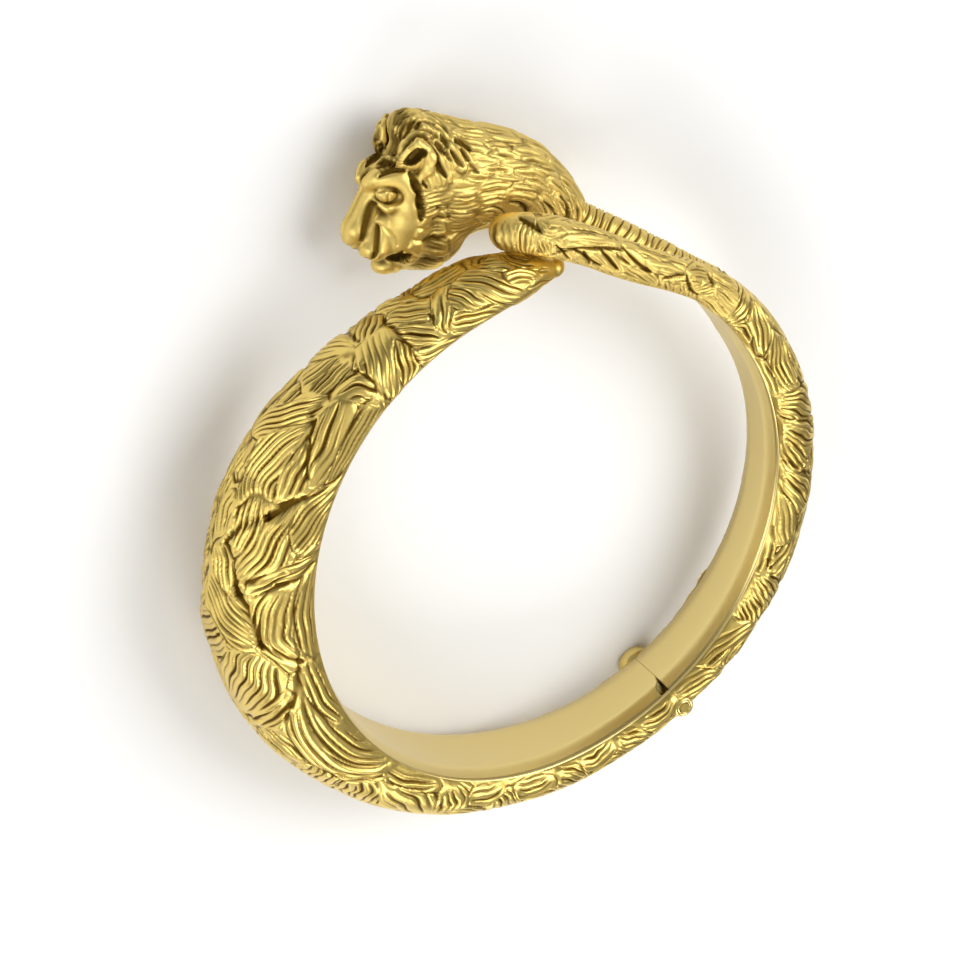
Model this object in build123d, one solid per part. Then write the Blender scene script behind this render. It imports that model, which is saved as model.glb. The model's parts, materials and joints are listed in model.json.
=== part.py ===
from build123d import *
import os

import numpy as np

# A hinged bypass bangle of yellow gold that ends in a lion's head.
# Lengths are millimetres. A station is an angle round the ring in degrees, seen from the near
# side: 0 is where the halves cross, 90 the middle of the carved front half, and 220 the hinge.
# The near side is +Z of the ring before it is laid down; the lion looks towards higher stations.

# The wrist opening
inner_diameter = 58.0

# The carved front half
front_width = 13.8
front_height = 8.8
front_tip_station = 5.0

# The slim back half
back_width = 9.2
back_height = 5.3
split_station = 322.0

# The two strands that the back half divides into. Their centres start at a share of
# strand_width above the liner, and they are round after a share of their rows.
strand_width = 4.2
strand_height = 4.1
split_rise = 0.49
split_blend = 0.35

# The sides of both halves stand out past the smooth liner, up to a share of the height, and
# the crown between them is a rounded arch: 2 would be an ellipse, more is squarer
side_overhang = 0.75
side_share = 0.32
crown_roundness = 2.3

# The hinge
hinge_station = 220.5
hinge_depth = 2.5
barrel_diameter = 3.4
pin_diameter = 1.1
pin_clearance = 0.05
knuckle_gap = 0.15
middle_knuckle = 3.2
near_projection = 0.1
far_projection = 1.8
opening_angle = 50.0
seam_gap = 0.12
# How far a cut runs on past the metal that it cuts
cut_past = 2.0

# The lion's head
head_length = 28.0
head_width = 11.6
head_height = 20.0
head_forward = 8.0
head_outward = 8.0
head_axial = -7.1
neck_gap = 0.25

# Cast relief
head_relief = 0.35
mane_locks = 14
leaf_rise = 0.6
rib_depth = 0.25
leaf_taper = 0.28
midrib_share = 0.3
# The share of a leaf's rise kept where a band is thinnest, and the plain share of each flank
low_relief = 0.3
plain_edge = 0.1
ridge_pitch = 5.5
strand_ridge = 0.3
# How far round, in degrees, the leaves of the far side stand from those of the near side
front_mirror_turn = 6.0
back_mirror_turn = 4.0

inner_radius = inner_diameter / 2
barrel_radius = barrel_diameter / 2
hinge_radius = inner_radius + hinge_depth
seam_lean = opening_angle / 2 + 2
turn = np.pi / 180

# Sections of the front half. Widths are shares of front_width and heights of front_height;
# the shift towards the near side is a share of front_width.
FRONT_SECTIONS = [
    # station, width, height, shift
    (5, 0.30, 0.28, 0.050),
    (9, 0.40, 0.34, 0.070),
    (14, 0.50, 0.42, 0.092),
    (20, 0.57, 0.48, 0.100),
    (35, 0.65, 0.52, 0.088),
    (50, 0.73, 0.64, 0.062),
    (75, 0.87, 0.92, 0.022),
    (100, 0.96, 1.00, 0.0),
    (125, 1.00, 0.92, 0.0),
    (140, 0.985, 0.80, 0.0),
    (160, 0.94, 0.66, 0.0),
    (185, 0.82, 0.50, 0.0),
    (203, 0.72, 0.48, 0.0),
    (222, 0.665, 0.48, 0.0),
]

# Sections of the back half, as shares of back_width and back_height
BACK_SECTIONS = [
    # station, width, height
    (218, 1.0, 0.80),
    (230, 0.98, 0.86),
    (240, 0.96, 0.93),
    (260, 0.91, 1.00),
    (280, 0.89, 1.00),
    (300, 0.90, 0.92),
    (322, 0.95, 0.775),
]

# The strands' centre lines. Rise above the liner and the place across are shares of
# strand_width; width and height are shares of strand_width and strand_height.
NEAR_STRAND = [
    # station, rise, across, width, height
    (328, 0.46, 0.52, 0.95, 0.90),
    (337, 0.45, 0.56, 0.93, 0.88),
    (346, 0.50, 0.60, 0.95, 0.92),
    (353, 0.64, 0.62, 0.98, 0.96),
    (358, 0.88, 0.62, 1.02, 1.02),
    (363, 1.14, 0.60, 1.06, 1.08),
    (367.5, 1.36, 0.46, 1.10, 1.10),
    (371, 1.48, 0.26, 1.04, 1.06),
    (372.5, 1.46, 0.02, 0.94, 0.98),
    (372.3, 1.40, -0.18, 0.80, 0.84),
]
FAR_STRAND = [
    # station, rise, across, width, height
    (328, 0.43, -0.56, 0.93, 0.86),
    (334, 0.42, -0.74, 0.90, 0.84),
    (340, 0.44, -1.00, 0.90, 0.86),
    (346, 0.52, -1.28, 0.92, 0.90),
    (350.5, 0.62, -1.48, 0.94, 0.94),
]


def smooth_table(table, station, column):
    """A column of a table at any station, through its rows without corners."""
    rows = np.array(table, float)
    x, y = rows[:, 0], rows[:, column]
    slope = np.gradient(y, x)
    i = np.clip(np.searchsorted(x, station) - 1, 0, len(x) - 2)
    width = x[i + 1] - x[i]
    t = np.clip((station - x[i]) / width, 0, 1)
    h = 1 - t
    return (h * h * (1 + 2 * t) * y[i] + t * t * (1 + 2 * h) * y[i + 1]
            + h * h * t * width * slope[i] - t * t * h * width * slope[i + 1])


def ring_point(station, radius, axial):
    """A point of the ring frame from its station, radius and place along the axis."""
    angle = (np.asarray(station, float) - 90) * turn
    return np.stack(np.broadcast_arrays(radius * np.cos(angle), radius * np.sin(angle), axial), -1)


# Leaves of cast relief on the front half, charted from the visible side. The place across runs
# from -1 at the near liner edge over 0 at the crown to 1 at the far liner edge. Length and
# width are shares of front_width. A heading of 0 points to higher stations, 90 to the far side.
LEAVES = [
    # station, across, length, width, heading, bend
    (4, -0.55, 0.80, 0.30, 160, 0.3),
    (3, 0.10, 0.85, 0.34, 175, -0.2),
    (14, -0.05, 0.90, 0.36, 150, -0.3),
    (16, -0.62, 1.15, 0.34, 165, 0.5),
    (27, 0.12, 0.85, 0.40, 200, 0.4),
    (30, -0.35, 0.80, 0.42, 128, 0.5),
    (26, -0.78, 0.85, 0.30, 190, 0.3),
    (41, 0.25, 0.90, 0.42, 215, 0.3),
    (36, -0.45, 0.85, 0.34, 242, 0.2),
    (45, -0.40, 1.05, 0.48, 122, 0.5),
    (38, -0.86, 0.55, 0.28, 150, 0.3),
    (55, 0.05, 0.95, 0.50, 195, 0.3),
    (52, -0.82, 0.85, 0.28, 170, 0.2),
    (60, -0.52, 1.00, 0.40, 160, -0.4),
    (64, -0.08, 0.95, 0.42, 225, 0.5),
    (63, 0.33, 0.90, 0.42, 200, 0.2),
    (69, -0.78, 0.90, 0.34, 205, 0.2),
    (75, -0.33, 0.90, 0.40, 170, 0.3),
    (79, 0.05, 0.95, 0.46, 190, -0.3),
    (82, -0.86, 0.75, 0.26, 215, 0.2),
    (86, 0.28, 0.80, 0.44, 165, 0.2),
    (83, -0.48, 0.92, 0.46, 200, 0.3),
    (97, -0.10, 1.00, 0.52, 128, 0.6),
    (99, -0.66, 0.95, 0.46, 185, -0.2),
    (95, -0.92, 0.80, 0.20, 190, 0.1),
    (107, 0.22, 0.90, 0.46, 150, -0.3),
    (113, -0.30, 1.00, 0.56, 238, 0.5),
    (111, -0.86, 0.85, 0.28, 190, 0.2),
    (122, 0.05, 0.95, 0.48, 215, 0.4),
    (126, -0.32, 0.90, 0.40, 250, 0.3),
    (129, -0.70, 1.25, 0.42, 184, 0.35),
    (142, -0.15, 0.90, 0.46, 235, 0.3),
    (141, -0.50, 0.80, 0.36, 228, -0.3),
    (146, -0.88, 0.80, 0.24, 182, 0.1),
    (152, -0.62, 1.00, 0.40, 160, 0.2),
    (158, -0.22, 0.90, 0.44, 215, 0.3),
    (164, -0.80, 0.75, 0.30, 120, 0.3),
    (170, -0.50, 0.85, 0.36, 205, 0.2),
    (175, -0.05, 0.85, 0.40, 160, 0.3),
    (173, -0.90, 0.70, 0.22, 182, 0.0),
    (181, -0.72, 0.62, 0.34, 250, 0.3),
    (190, -0.30, 0.80, 0.34, 200, 0.3),
    (190, -0.82, 0.70, 0.28, 170, 0.4),
    (200, -0.66, 0.66, 0.30, 225, 0.4),
    (205, -0.12, 0.75, 0.30, 160, 0.3),
    (211, -0.75, 0.62, 0.28, 150, 0.4),
    (216, -0.40, 0.60, 0.26, 200, 0.2),
]

# Leaves of the back half, with lengths and widths as shares of back_width
BACK_LEAVES = [
    # station, across, length, width, heading, bend
    (224, -0.75, 0.50, 0.36, 60, 0.3),
    (228, -0.30, 0.85, 0.40, 20, 0.3),
    (233, -0.80, 0.80, 0.34, 350, 0.5),
    (241, -0.70, 0.85, 0.36, 345, 0.5),
    (243, -0.15, 0.90, 0.42, 25, 0.3),
    (250, -0.72, 0.70, 0.40, 60, 0.2),
    (257, -0.25, 0.90, 0.44, 40, 0.3),
    (262, -0.80, 0.95, 0.34, 12, 0.4),
    (272, -0.70, 1.00, 0.42, 35, -0.3),
    (272, -0.10, 0.95, 0.44, 335, 0.3),
    (281, -0.80, 0.60, 0.34, 80, 0.3),
    (287, -0.45, 1.05, 0.44, 45, 0.2),
    (290, 0.05, 0.90, 0.42, 20, 0.3),
    (296, -0.86, 0.70, 0.30, 10, 0.3),
    (300, -0.55, 0.95, 0.46, 355, -0.5),
    (308, -0.30, 0.85, 0.44, 300, 0.4),
    (310, -0.80, 0.80, 0.36, 320, 0.4),
    (317, -0.55, 0.75, 0.40, 90, 0.2),
    (319, 0.00, 0.80, 0.40, 40, 0.3),
]

# The front tip beyond its first section: the share of that section and how far it lies ahead
FRONT_TIP = [
    # share of the section, distance as a share of front_width
    (0.45, 0.083),
    (0.82, 0.051),
]
# The hook's round end beyond its last section, in the same way
HOOK_END = [
    # share of the section, distance as a share of its mean radius
    (0.86, 0.45),
    (0.50, 0.80),
    (0.0, 0.95),
]

# How many facets each form has
front_rows = 136
front_columns = 24
back_rows = 60
back_columns = 16
strand_columns = 14
near_rows = 36
far_rows = 18
head_tube_rows = 31
head_face_rows = 19
head_columns = 46
flank_samples = 13
crown_samples = 30


def leaf_relief(x, y, leaves, rise, depth):
    """Height of leaves that overlap like shingles; each one lies over those before it."""
    height = np.zeros(np.shape(x))
    for leaf_x, leaf_y, length, width, heading, bend in leaves:
        c, s = np.cos(heading * turn), np.sin(heading * turn)
        along = ((x - leaf_x) * c + (y - leaf_y) * s) / (length / 2)
        aside = ((y - leaf_y) * c - (x - leaf_x) * s) / (width / 2) - bend * along ** 2
        taper = np.sqrt(np.clip(1 - along ** 2, 0, 1)) * (1 - leaf_taper * along)
        q = aside / np.maximum(taper, 1e-6)
        inside = (np.abs(along) < 1) & (np.abs(q) < 1)
        rim = 1 - np.maximum(np.abs(q), np.abs(along)) ** 5
        midrib = np.exp(-(q / midrib_share) ** 2)
        level = (rise * (1 - leaf_taper + leaf_taper * along) - depth * midrib) * rim
        height = np.where(inside, level, height)
    return height


def d_section(width, height, columns):
    """The outside of a section from the near liner edge over the crown to the far one."""
    liner_half = width / 2 - side_overhang
    q = np.linspace(0, 1, flank_samples)
    side_across = liner_half + side_overhang * (1 - (1 - q) ** 2)
    side_up = side_share * height * q
    a = np.linspace(0, np.pi / 2, crown_samples + 1)[1:]
    crown_across = width / 2 * np.cos(a) ** (2 / crown_roundness)
    crown_up = height * (side_share + (1 - side_share) * np.sin(a) ** (2 / crown_roundness))
    across = np.concatenate([side_across, crown_across])
    up = np.concatenate([side_up, crown_up])
    reach = np.concatenate([[0], np.cumsum(np.hypot(np.diff(across), np.diff(up)))])
    v = np.linspace(-1, 1, columns + 1)
    at = (1 - np.abs(v)) * reach[-1]
    sign = np.where(v <= 0, 1, -1)
    return sign * np.interp(at, reach, across), np.interp(at, reach, up), v, reach[-1]


def band_rings(stations, table, leaves, columns, size, shifted):
    """Rings of points along a half of the bangle, raised by its leaves."""
    size_width, size_height = size
    rings = []
    for row_stations in stations:
        middle = float(np.mean(row_stations))
        width = size_width * smooth_table(table, middle, 1)
        height = size_height * smooth_table(table, middle, 2)
        shift = size_width * smooth_table(table, middle, 3) if shifted else 0.0
        across, up, v, half_reach = d_section(width, height, columns)
        slope_across, slope_up = np.gradient(across), np.gradient(up)
        normal = np.stack([-slope_up, slope_across]) / np.hypot(slope_up, slope_across)
        x = row_stations * turn * (inner_radius + height / 2)
        rise = leaf_relief(x, v * half_reach, leaves, leaf_rise, rib_depth)
        fade = np.clip((1 - np.abs(v)) / plain_edge, 0, 1)
        lift = rise * fade * (low_relief + (1 - low_relief) * height / size_height)
        out_across = across - normal[0] * lift
        out_up = up - normal[1] * lift
        rings.append(ring_point(row_stations, inner_radius + out_up, out_across + shift))
    return np.array(rings)


def placed_leaves(table, sections, size, mirror_shift):
    """Leaf rows turned into millimetres along and across, mirrored to the far side too."""
    size_width, size_height = size
    leaves = []
    for station, across, length, width, heading, bend in table:
        sides = [(station, across, heading, bend)]
        if across < -0.2:
            sides.append((station + mirror_shift, -across, -heading, -bend))
        for place, place_across, place_heading, place_bend in sides:
            wide = size_width * smooth_table(sections, place, 1)
            high = size_height * smooth_table(sections, place, 2)
            half_reach = d_section(wide, high, 1)[3]
            leaves.append((place * turn * (inner_radius + high / 2), place_across * half_reach,
                           length * size_width, width * size_width, place_heading, place_bend))
    return leaves


class Facets:
    """Points and flat faces that close up into one solid."""

    def __init__(self):
        self.points = []
        self.faces = []

    def add_ring(self, ring):
        first = len(self.points)
        self.points.extend(np.asarray(ring, float))
        return list(range(first, first + len(ring)))

    def join_rings(self, ring_a, ring_b, flat_last=False):
        """Quads between two closed rings, split into triangles; the last one may stay flat."""
        count = len(ring_a)
        for i in range(count):
            j = (i + 1) % count
            if flat_last and i == count - 1:
                self.faces.append((ring_a[j], ring_b[j], ring_b[i], ring_a[i]))
            else:
                self.faces.append((ring_a[i], ring_a[j], ring_b[i]))
                self.faces.append((ring_a[j], ring_b[j], ring_b[i]))

    def close_ring(self, ring, reverse, tip=None):
        """A fan over an open end, about its middle or a given tip."""
        middle = np.mean([self.points[i] for i in ring], axis=0) if tip is None else tip
        self.points.append(np.asarray(middle, float))
        centre = len(self.points) - 1
        for i in range(len(ring)):
            a, b = ring[i], ring[(i + 1) % len(ring)]
            self.faces.append((centre, a, b) if reverse else (centre, b, a))

    def solid(self, place):
        corners = [Vector(*place(point)) for point in self.points]
        sides = [Face(Wire.make_polygon([corners[i] for i in face])) for face in self.faces]
        return Solid(Shell(sides))


def seam_stations(side):
    """How far each height above the liner stops from the hinge axis, as a function."""

    def stop(up):
        gap = seam_gap + np.maximum(0, up - hinge_depth) * np.tan(seam_lean * turn)
        return hinge_station + side * gap / (inner_radius + up) / turn

    return stop


def front_band():
    size = (front_width, front_height)
    leaves = placed_leaves(LEAVES, FRONT_SECTIONS, size, front_mirror_turn)
    stop = seam_stations(-1)
    stations = []
    for share in np.linspace(0, 1, front_rows + 1):
        middle = front_tip_station + share * (hinge_station - front_tip_station)
        height = front_height * smooth_table(FRONT_SECTIONS, middle, 2)
        up = d_section(front_width * smooth_table(FRONT_SECTIONS, middle, 1), height, front_columns)[1]
        ends = stop(up)
        stations.append(front_tip_station + share * (ends - front_tip_station))
    rings = band_rings(stations, FRONT_SECTIONS, leaves, front_columns, size, True)
    facets = Facets()
    tip = rings[0].mean(axis=0)
    ahead = ring_point(front_tip_station - 90, front_width, 0.0)
    before = [tip + (rings[0] - tip) * scale + ahead * distance for scale, distance in FRONT_TIP]
    previous = facets.add_ring(before[0])
    facets.close_ring(previous, reverse=False)
    for row, ring in enumerate([*before[1:], *rings]):
        current = facets.add_ring(ring)
        facets.join_rings(previous, current, flat_last=row > 0)
        previous = current
    facets.close_ring(previous, reverse=True)
    return facets


def strand_path(table, count, side):
    """Places, and scales across and up, along a strand from the split on."""
    rows = np.array([(split_station, split_rise, side / 2, 1, 1), *table], float)
    rise, across = rows[:, 1] * strand_width, rows[:, 2] * strand_width
    places = ring_point(rows[:, 0], inner_radius + rise, across)
    values = np.concatenate([places, rows[:, 3:5]], axis=1)
    knots = np.concatenate([[0], np.cumsum(np.linalg.norm(np.diff(places, axis=0), axis=1))])
    slope = np.gradient(values, knots, axis=0)
    at = np.linspace(0, knots[-1], count + 1)
    i = np.clip(np.searchsorted(knots, at) - 1, 0, len(knots) - 2)
    width = (knots[i + 1] - knots[i])[:, None]
    t = ((at - knots[i]) / width[:, 0])[:, None]
    h = 1 - t
    found = (h * h * (1 + 2 * t) * values[i] + t * t * (1 + 2 * h) * values[i + 1]
             + h * h * t * width * slope[i] - t * t * h * width * slope[i + 1])
    return found[:, :3], found[:, 3], found[:, 4], at


def strand_rings(table, first_ring, count, side):
    """Rings along a strand that starts as one side of the split back half."""
    centres, wide, high, reach = strand_path(table, count, side)
    tangent = np.gradient(centres, axis=0)
    tangent /= np.linalg.norm(tangent, axis=1)[:, None]
    across = np.array([0.0, 0.0, 1.0])
    rings = []
    for k, centre in enumerate(centres):
        across = across - tangent[k] * (across @ tangent[k])
        across /= np.linalg.norm(across)
        inward = np.cross(across, tangent[k])
        if k == 0:
            local = np.stack([(first_ring - centre) @ across, (first_ring - centre) @ inward], -1)
            turn_at = np.arctan2(local[:, 1] / strand_height, local[:, 0] / strand_width)
            rings.append(first_ring)
            continue
        angle = turn_at
        ellipse = np.stack([np.cos(angle) * strand_width / 2, np.sin(angle) * strand_height / 2], -1)
        blend = np.clip(1 - k / (split_blend * count), 0, 1) ** 1.5
        shape = ellipse * (1 - blend) + local * blend
        shape = shape * np.array([wide[k], high[k]])
        slant = reach[k] / ridge_pitch * 2 * np.pi
        ridge = np.cos(slant + side * 2 * angle) * (1 - blend)
        grown = shape * (1 + strand_ridge * ridge / strand_width)[:, None]
        rings.append(centre + grown[:, :1] * across + grown[:, 1:] * inward)
    return np.array(rings), tangent


def back_band():
    size = (back_width, back_height)
    leaves = placed_leaves(BACK_LEAVES, BACK_SECTIONS, size, back_mirror_turn)
    stop = seam_stations(1)
    stations = []
    for share in np.linspace(0, 1, back_rows + 1):
        middle = hinge_station + share * (split_station - hinge_station)
        height = back_height * smooth_table(BACK_SECTIONS, middle, 2)
        up = d_section(back_width * smooth_table(BACK_SECTIONS, middle, 1), height, back_columns)[1]
        starts = stop(up)
        stations.append(starts + share * (split_station - starts))
    rings = band_rings(stations, BACK_SECTIONS, leaves, back_columns, size, False)
    facets = Facets()
    previous = facets.add_ring(rings[0])
    facets.close_ring(previous, reverse=False)
    for ring in rings[1:]:
        current = facets.add_ring(ring)
        facets.join_rings(previous, current, flat_last=True)
        previous = current
    # The last section divides at the crown and the middle of the liner
    half = back_columns // 2
    crown = facets.points[previous[half]]
    bottom = (facets.points[previous[0]] + facets.points[previous[-1]]) / 2
    wall = strand_columns - half - 2
    wall_points = [crown + (bottom - crown) * (i + 1) / (wall + 1) for i in range(wall)]
    wall_ring = facets.add_ring(wall_points)
    bottom_index = facets.add_ring([bottom])[0]
    closing = facets.faces.pop(-1)
    facets.faces.append((closing[0], closing[1], bottom_index, closing[2], closing[3]))
    near_ring = previous[:half + 1] + wall_ring + [bottom_index]
    far_ring = previous[half:] + [bottom_index] + wall_ring[::-1]
    for ring, table, count, side in ((near_ring, NEAR_STRAND, near_rows, 1),
                                     (far_ring, FAR_STRAND, far_rows, -1)):
        first = np.array([facets.points[i] for i in ring])
        strand, tangent = strand_rings(table, first, count, side)
        strand_previous = ring
        for points in strand[1:]:
            current = facets.add_ring(points)
            facets.join_rings(strand_previous, current)
            strand_previous = current
        if side > 0:
            # The hook's end is round
            end = strand[-1]
            middle = end.mean(axis=0)
            reach = np.linalg.norm(end - middle, axis=1).mean()
            for scale, distance in HOOK_END[:-1]:
                points = middle + (end - middle) * scale + tangent[-1] * reach * distance
                current = facets.add_ring(points)
                facets.join_rings(strand_previous, current)
                strand_previous = current
            tip = middle + tangent[-1] * reach * HOOK_END[-1][1]
            facets.close_ring(strand_previous, reverse=True, tip=tip)
        else:
            facets.close_ring(strand_previous, reverse=True)
    return facets


# The lion's head as blended round masses, in the head's own directions: forward from neck to
# nose, side towards either ear, and up from chin to crown. Each direction is measured in parts:
# so many make up head_length, head_width and head_height. A mass or bar with a place to the
# side comes as a pair. A tilt leans the top of a mass forward, in degrees, and blend is how
# softly it joins the others.
LENGTH_PARTS = 28
WIDTH_PARTS = 11.6
HEIGHT_PARTS = 20
HEAD_MASSES = [
    # forward, side, up, half length, half width, half height, tilt, blend
    (2.2, 0.0, 0.5, 8.2, 4.7, 5.7, -16, 1.0),
    (-4.6, 0.0, -0.9, 6.6, 4.0, 4.1, -30, 2.0),
    (-9.0, 0.0, -3.9, 4.2, 3.2, 3.1, -34, 1.6),
    (-11.8, 0.0, -5.5, 2.6, 2.7, 2.7, 0, 1.2),
    (6.4, 0.0, 3.1, 4.0, 4.1, 4.4, 0, 1.5),
    (4.6, 0.0, -5.0, 3.7, 3.0, 4.6, -20, 1.5),
    (9.2, 0.0, 6.6, 1.9, 2.6, 1.6, -20, 0.8),
    (8.6, 0.0, 0.4, 3.2, 3.5, 4.4, -10, 1.2),
    (10.6, 0.0, 1.2, 1.9, 2.3, 2.2, -10, 0.8),
    (9.2, 1.2, -4.6, 2.8, 1.7, 2.6, 0, 0.9),
    (7.4, 0.0, -7.2, 2.6, 2.0, 1.9, 0, 0.9),
    (9.5, 0.0, -8.3, 1.5, 1.5, 1.05, 15, 0.6),
    (9.3, 4.0, 4.9, 1.5, 1.2, 1.8, -15, 0.35),
    (11.35, 2.35, 0.3, 0.8, 0.75, 0.7, 0, 0.1),
]
HEAD_BARS = [
    # from forward, side, up, to forward, side, up, first radius, last radius, blend
    (11.3, 0.5, 0.0, 13.2, 0.6, -4.4, 1.15, 1.0, 0.4),
    (13.7, 0.0, -4.6, 13.9, 0.0, -5.0, 1.15, 1.1, 0.4),
    (11.0, 1.5, -4.3, 12.3, 1.15, -6.1, 1.25, 1.3, 0.4),
    (12.6, 0.9, 1.5, 10.2, 2.9, 2.6, 0.7, 0.75, 0.5),
    (11.4, 2.5, -1.3, 9.2, 3.5, -0.9, 0.6, 0.7, 0.5),
    (9.9, 3.5, 2.0, 8.9, 3.3, -3.0, 0.8, 0.9, 0.5),
]
HEAD_HOLLOWS = [
    # forward, side, up, half length, half width, half height, tilt, blend
    (12.4, 2.9, 0.4, 1.2, 0.8, 0.9, -20, 0.4),
    (12.3, 0.0, -7.75, 3.4, 3.0, 0.5, 20, 0.25),
    (9.9, 4.9, 4.8, 0.9, 0.8, 1.2, -10, 0.25),
    (12.0, 1.75, -2.8, 0.6, 0.5, 2.4, -24, 0.3),
]
# The line through the head that its skin is measured from, in the same parts
HEAD_CORE = [(-7.5, -3.0), (-2.0, -0.8), (3.0, 0.0), (6.5, -0.8), (8.3, -1.6)]


def soft_union(a, b, blend):
    h = np.maximum(blend - np.abs(a - b), 0) / blend
    return np.minimum(a, b) - h * h * blend / 4


def mass_field(forward, side, up, row):
    f, s, u, half_length, half_width, half_height, tilt = row[:7]
    c, n = np.cos(tilt * turn), np.sin(tilt * turn)
    along = (forward - f) * c - (up - u) * n
    high = (forward - f) * n + (up - u) * c
    aside = np.abs(side) - s if s else side
    x, y, z = along / half_length, aside / half_width, high / half_height
    near = np.sqrt(x * x + y * y + z * z) + 1e-9
    steep = np.sqrt((x / half_length) ** 2 + (y / half_width) ** 2 + (z / half_height) ** 2) + 1e-9
    return near * (near - 1) / steep


def bar_field(forward, side, up, row):
    f1, s1, u1, f2, s2, u2, radius_1, radius_2 = row[:8]
    start, span = (f1, s1, u1), (f2 - f1, s2 - s1, u2 - u1)
    aside = np.abs(side) if (s1 or s2) else side
    offset = [forward - start[0], aside - start[1], up - start[2]]
    share = sum(a * b for a, b in zip(offset, span)) / sum(b * b for b in span)
    share = np.clip(share, 0, 1)
    away = np.sqrt(sum((a - b * share) ** 2 for a, b in zip(offset, span)))
    return away - radius_1 - (radius_2 - radius_1) * share


def head_field(forward, side, up):
    """Distance to the head's skin, negative inside, in parts."""
    distance = mass_field(forward, side, up, HEAD_MASSES[0])
    for row in HEAD_MASSES[1:]:
        distance = soft_union(distance, mass_field(forward, side, up, row), row[7])
    for row in HEAD_BARS:
        distance = soft_union(distance, bar_field(forward, side, up, row), row[8])
    for row in HEAD_HOLLOWS:
        distance = -soft_union(-distance, mass_field(forward, side, up, row), row[7])
    return distance


def to_head(points):
    """Ring frame to the head's own directions, in parts."""
    forward = (points[..., 0] - head_forward) * LENGTH_PARTS / head_length
    side = (points[..., 2] - head_axial) * WIDTH_PARTS / head_width
    up = (-points[..., 1] - inner_radius - head_outward) * HEIGHT_PARTS / head_height
    return forward, side, up


def from_head(forward, side, up):
    """The head's own directions, in parts, to the ring frame."""
    return np.array([
        head_forward + forward * head_length / LENGTH_PARTS,
        -(inner_radius + head_outward + up * head_height / HEIGHT_PARTS),
        head_axial + side * head_width / WIDTH_PARTS])


def neck_end():
    """Where the far strand stops, and the direction in which it points."""
    centres = strand_path(FAR_STRAND, far_rows, -1)[0]
    tangent = centres[-1] - centres[-2]
    return centres[-1], tangent / np.linalg.norm(tangent)


def mane_relief(points):
    """Wavy locks of the mane that run back from the face, in parts."""
    forward, side, up = to_head(points)
    angle = np.arctan2(side, up + 2.0)
    wave = np.sin(forward * 0.8) + 0.7 * np.sin(forward * 1.7 + 1.0)
    lock = np.cos(mane_locks * angle + wave)
    face = np.clip((9.0 - forward - 0.25 * np.abs(up)) / 2.5, 0, 1)
    tail = np.clip((forward + 12.5) / 2.0, 0, 1)
    return head_relief * lock * face * tail


def skin_reach(centre, aim):
    """How far along each direction the head's skin lies, found from outside inwards."""
    reach = np.linspace(head_length * 0.5, 0.2, 160)
    points = centre + aim[:, None, :] * reach[None, :, None]
    distance = head_field(*to_head(points)) - mane_relief(points)
    first = np.maximum(np.argmax(distance < 0, axis=1), 1)
    rows = np.arange(len(aim))
    outer, inner = distance[rows, first - 1], distance[rows, first]
    share = outer / (outer - inner)
    return reach[first - 1] + (reach[first] - reach[first - 1]) * share


def lion_head():
    """Rings of skin along the neck, then cones that close round over the face."""
    end, direction = neck_end()
    core = [end + direction * neck_gap]
    core += [from_head(forward, 0.0, up) for forward, up in HEAD_CORE]
    core = np.array(core)
    knots = np.concatenate([[0], np.cumsum(np.linalg.norm(np.diff(core, axis=0), axis=1))])
    at = np.linspace(0, knots[-1], head_tube_rows)
    centres = np.stack([np.interp(at, knots, core[:, i]) for i in range(3)], -1)
    directions = np.gradient(centres, axis=0)
    for _ in range(3):
        directions[1:-1] = (directions[:-2] + directions[1:-1] * 2 + directions[2:]) / 4
    directions[0] = direction
    directions /= np.linalg.norm(directions, axis=1)[:, None]
    around = np.linspace(2 * np.pi, 0, head_columns, endpoint=False)
    rows = [(centre, ahead, 0.0) for centre, ahead in zip(centres, directions)]
    leans = np.linspace(0, np.pi / 2, head_face_rows + 2)[1:-1]
    rows += [(centres[-1], directions[-1], lean) for lean in leans]
    facets = Facets()
    previous = None
    for centre, ahead, lean in rows:
        across = np.array([0.0, 0.0, 1.0]) - ahead * ahead[2]
        across /= np.linalg.norm(across)
        downward = np.cross(across, ahead)
        aim = np.cos(around)[:, None] * across + np.sin(around)[:, None] * downward
        aim = aim * np.cos(lean) + ahead * np.sin(lean)
        ring = facets.add_ring(centre + aim * skin_reach(centre, aim)[:, None])
        if previous is None:
            facets.close_ring(ring, reverse=False)
        else:
            facets.join_rings(previous, ring)
        previous = ring
    tip = centres[-1] + directions[-1] * skin_reach(centres[-1], directions[-1:])[0]
    facets.close_ring(previous, reverse=True, tip=tip)
    return facets


def hinge_piece(radius, low, high):
    """A round piece on the hinge axis between two places along it."""
    x, y, _ = ring_point(hinge_station, hinge_radius, 0.0)
    return Pos(x, y, (low + high) / 2) * Cylinder(radius, high - low)


def hinge_ends():
    """Places along the axis: the barrel's near and far end, and half its middle knuckle."""
    half_width = back_width * smooth_table(BACK_SECTIONS, hinge_station, 1) / 2
    return half_width + near_projection, -half_width - far_projection, middle_knuckle / 2


def joined_front():
    near_end, far_end, middle = hinge_ends()
    room = barrel_radius + seam_gap
    band = front_band().solid(tuple)
    band = band - hinge_piece(room, middle, near_end + cut_past)
    band = band - hinge_piece(room, far_end - cut_past, -middle)
    band = band + hinge_piece(barrel_radius, -middle, middle)
    return band - hinge_piece(pin_diameter / 2 + pin_clearance, far_end - cut_past, near_end + cut_past)


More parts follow.
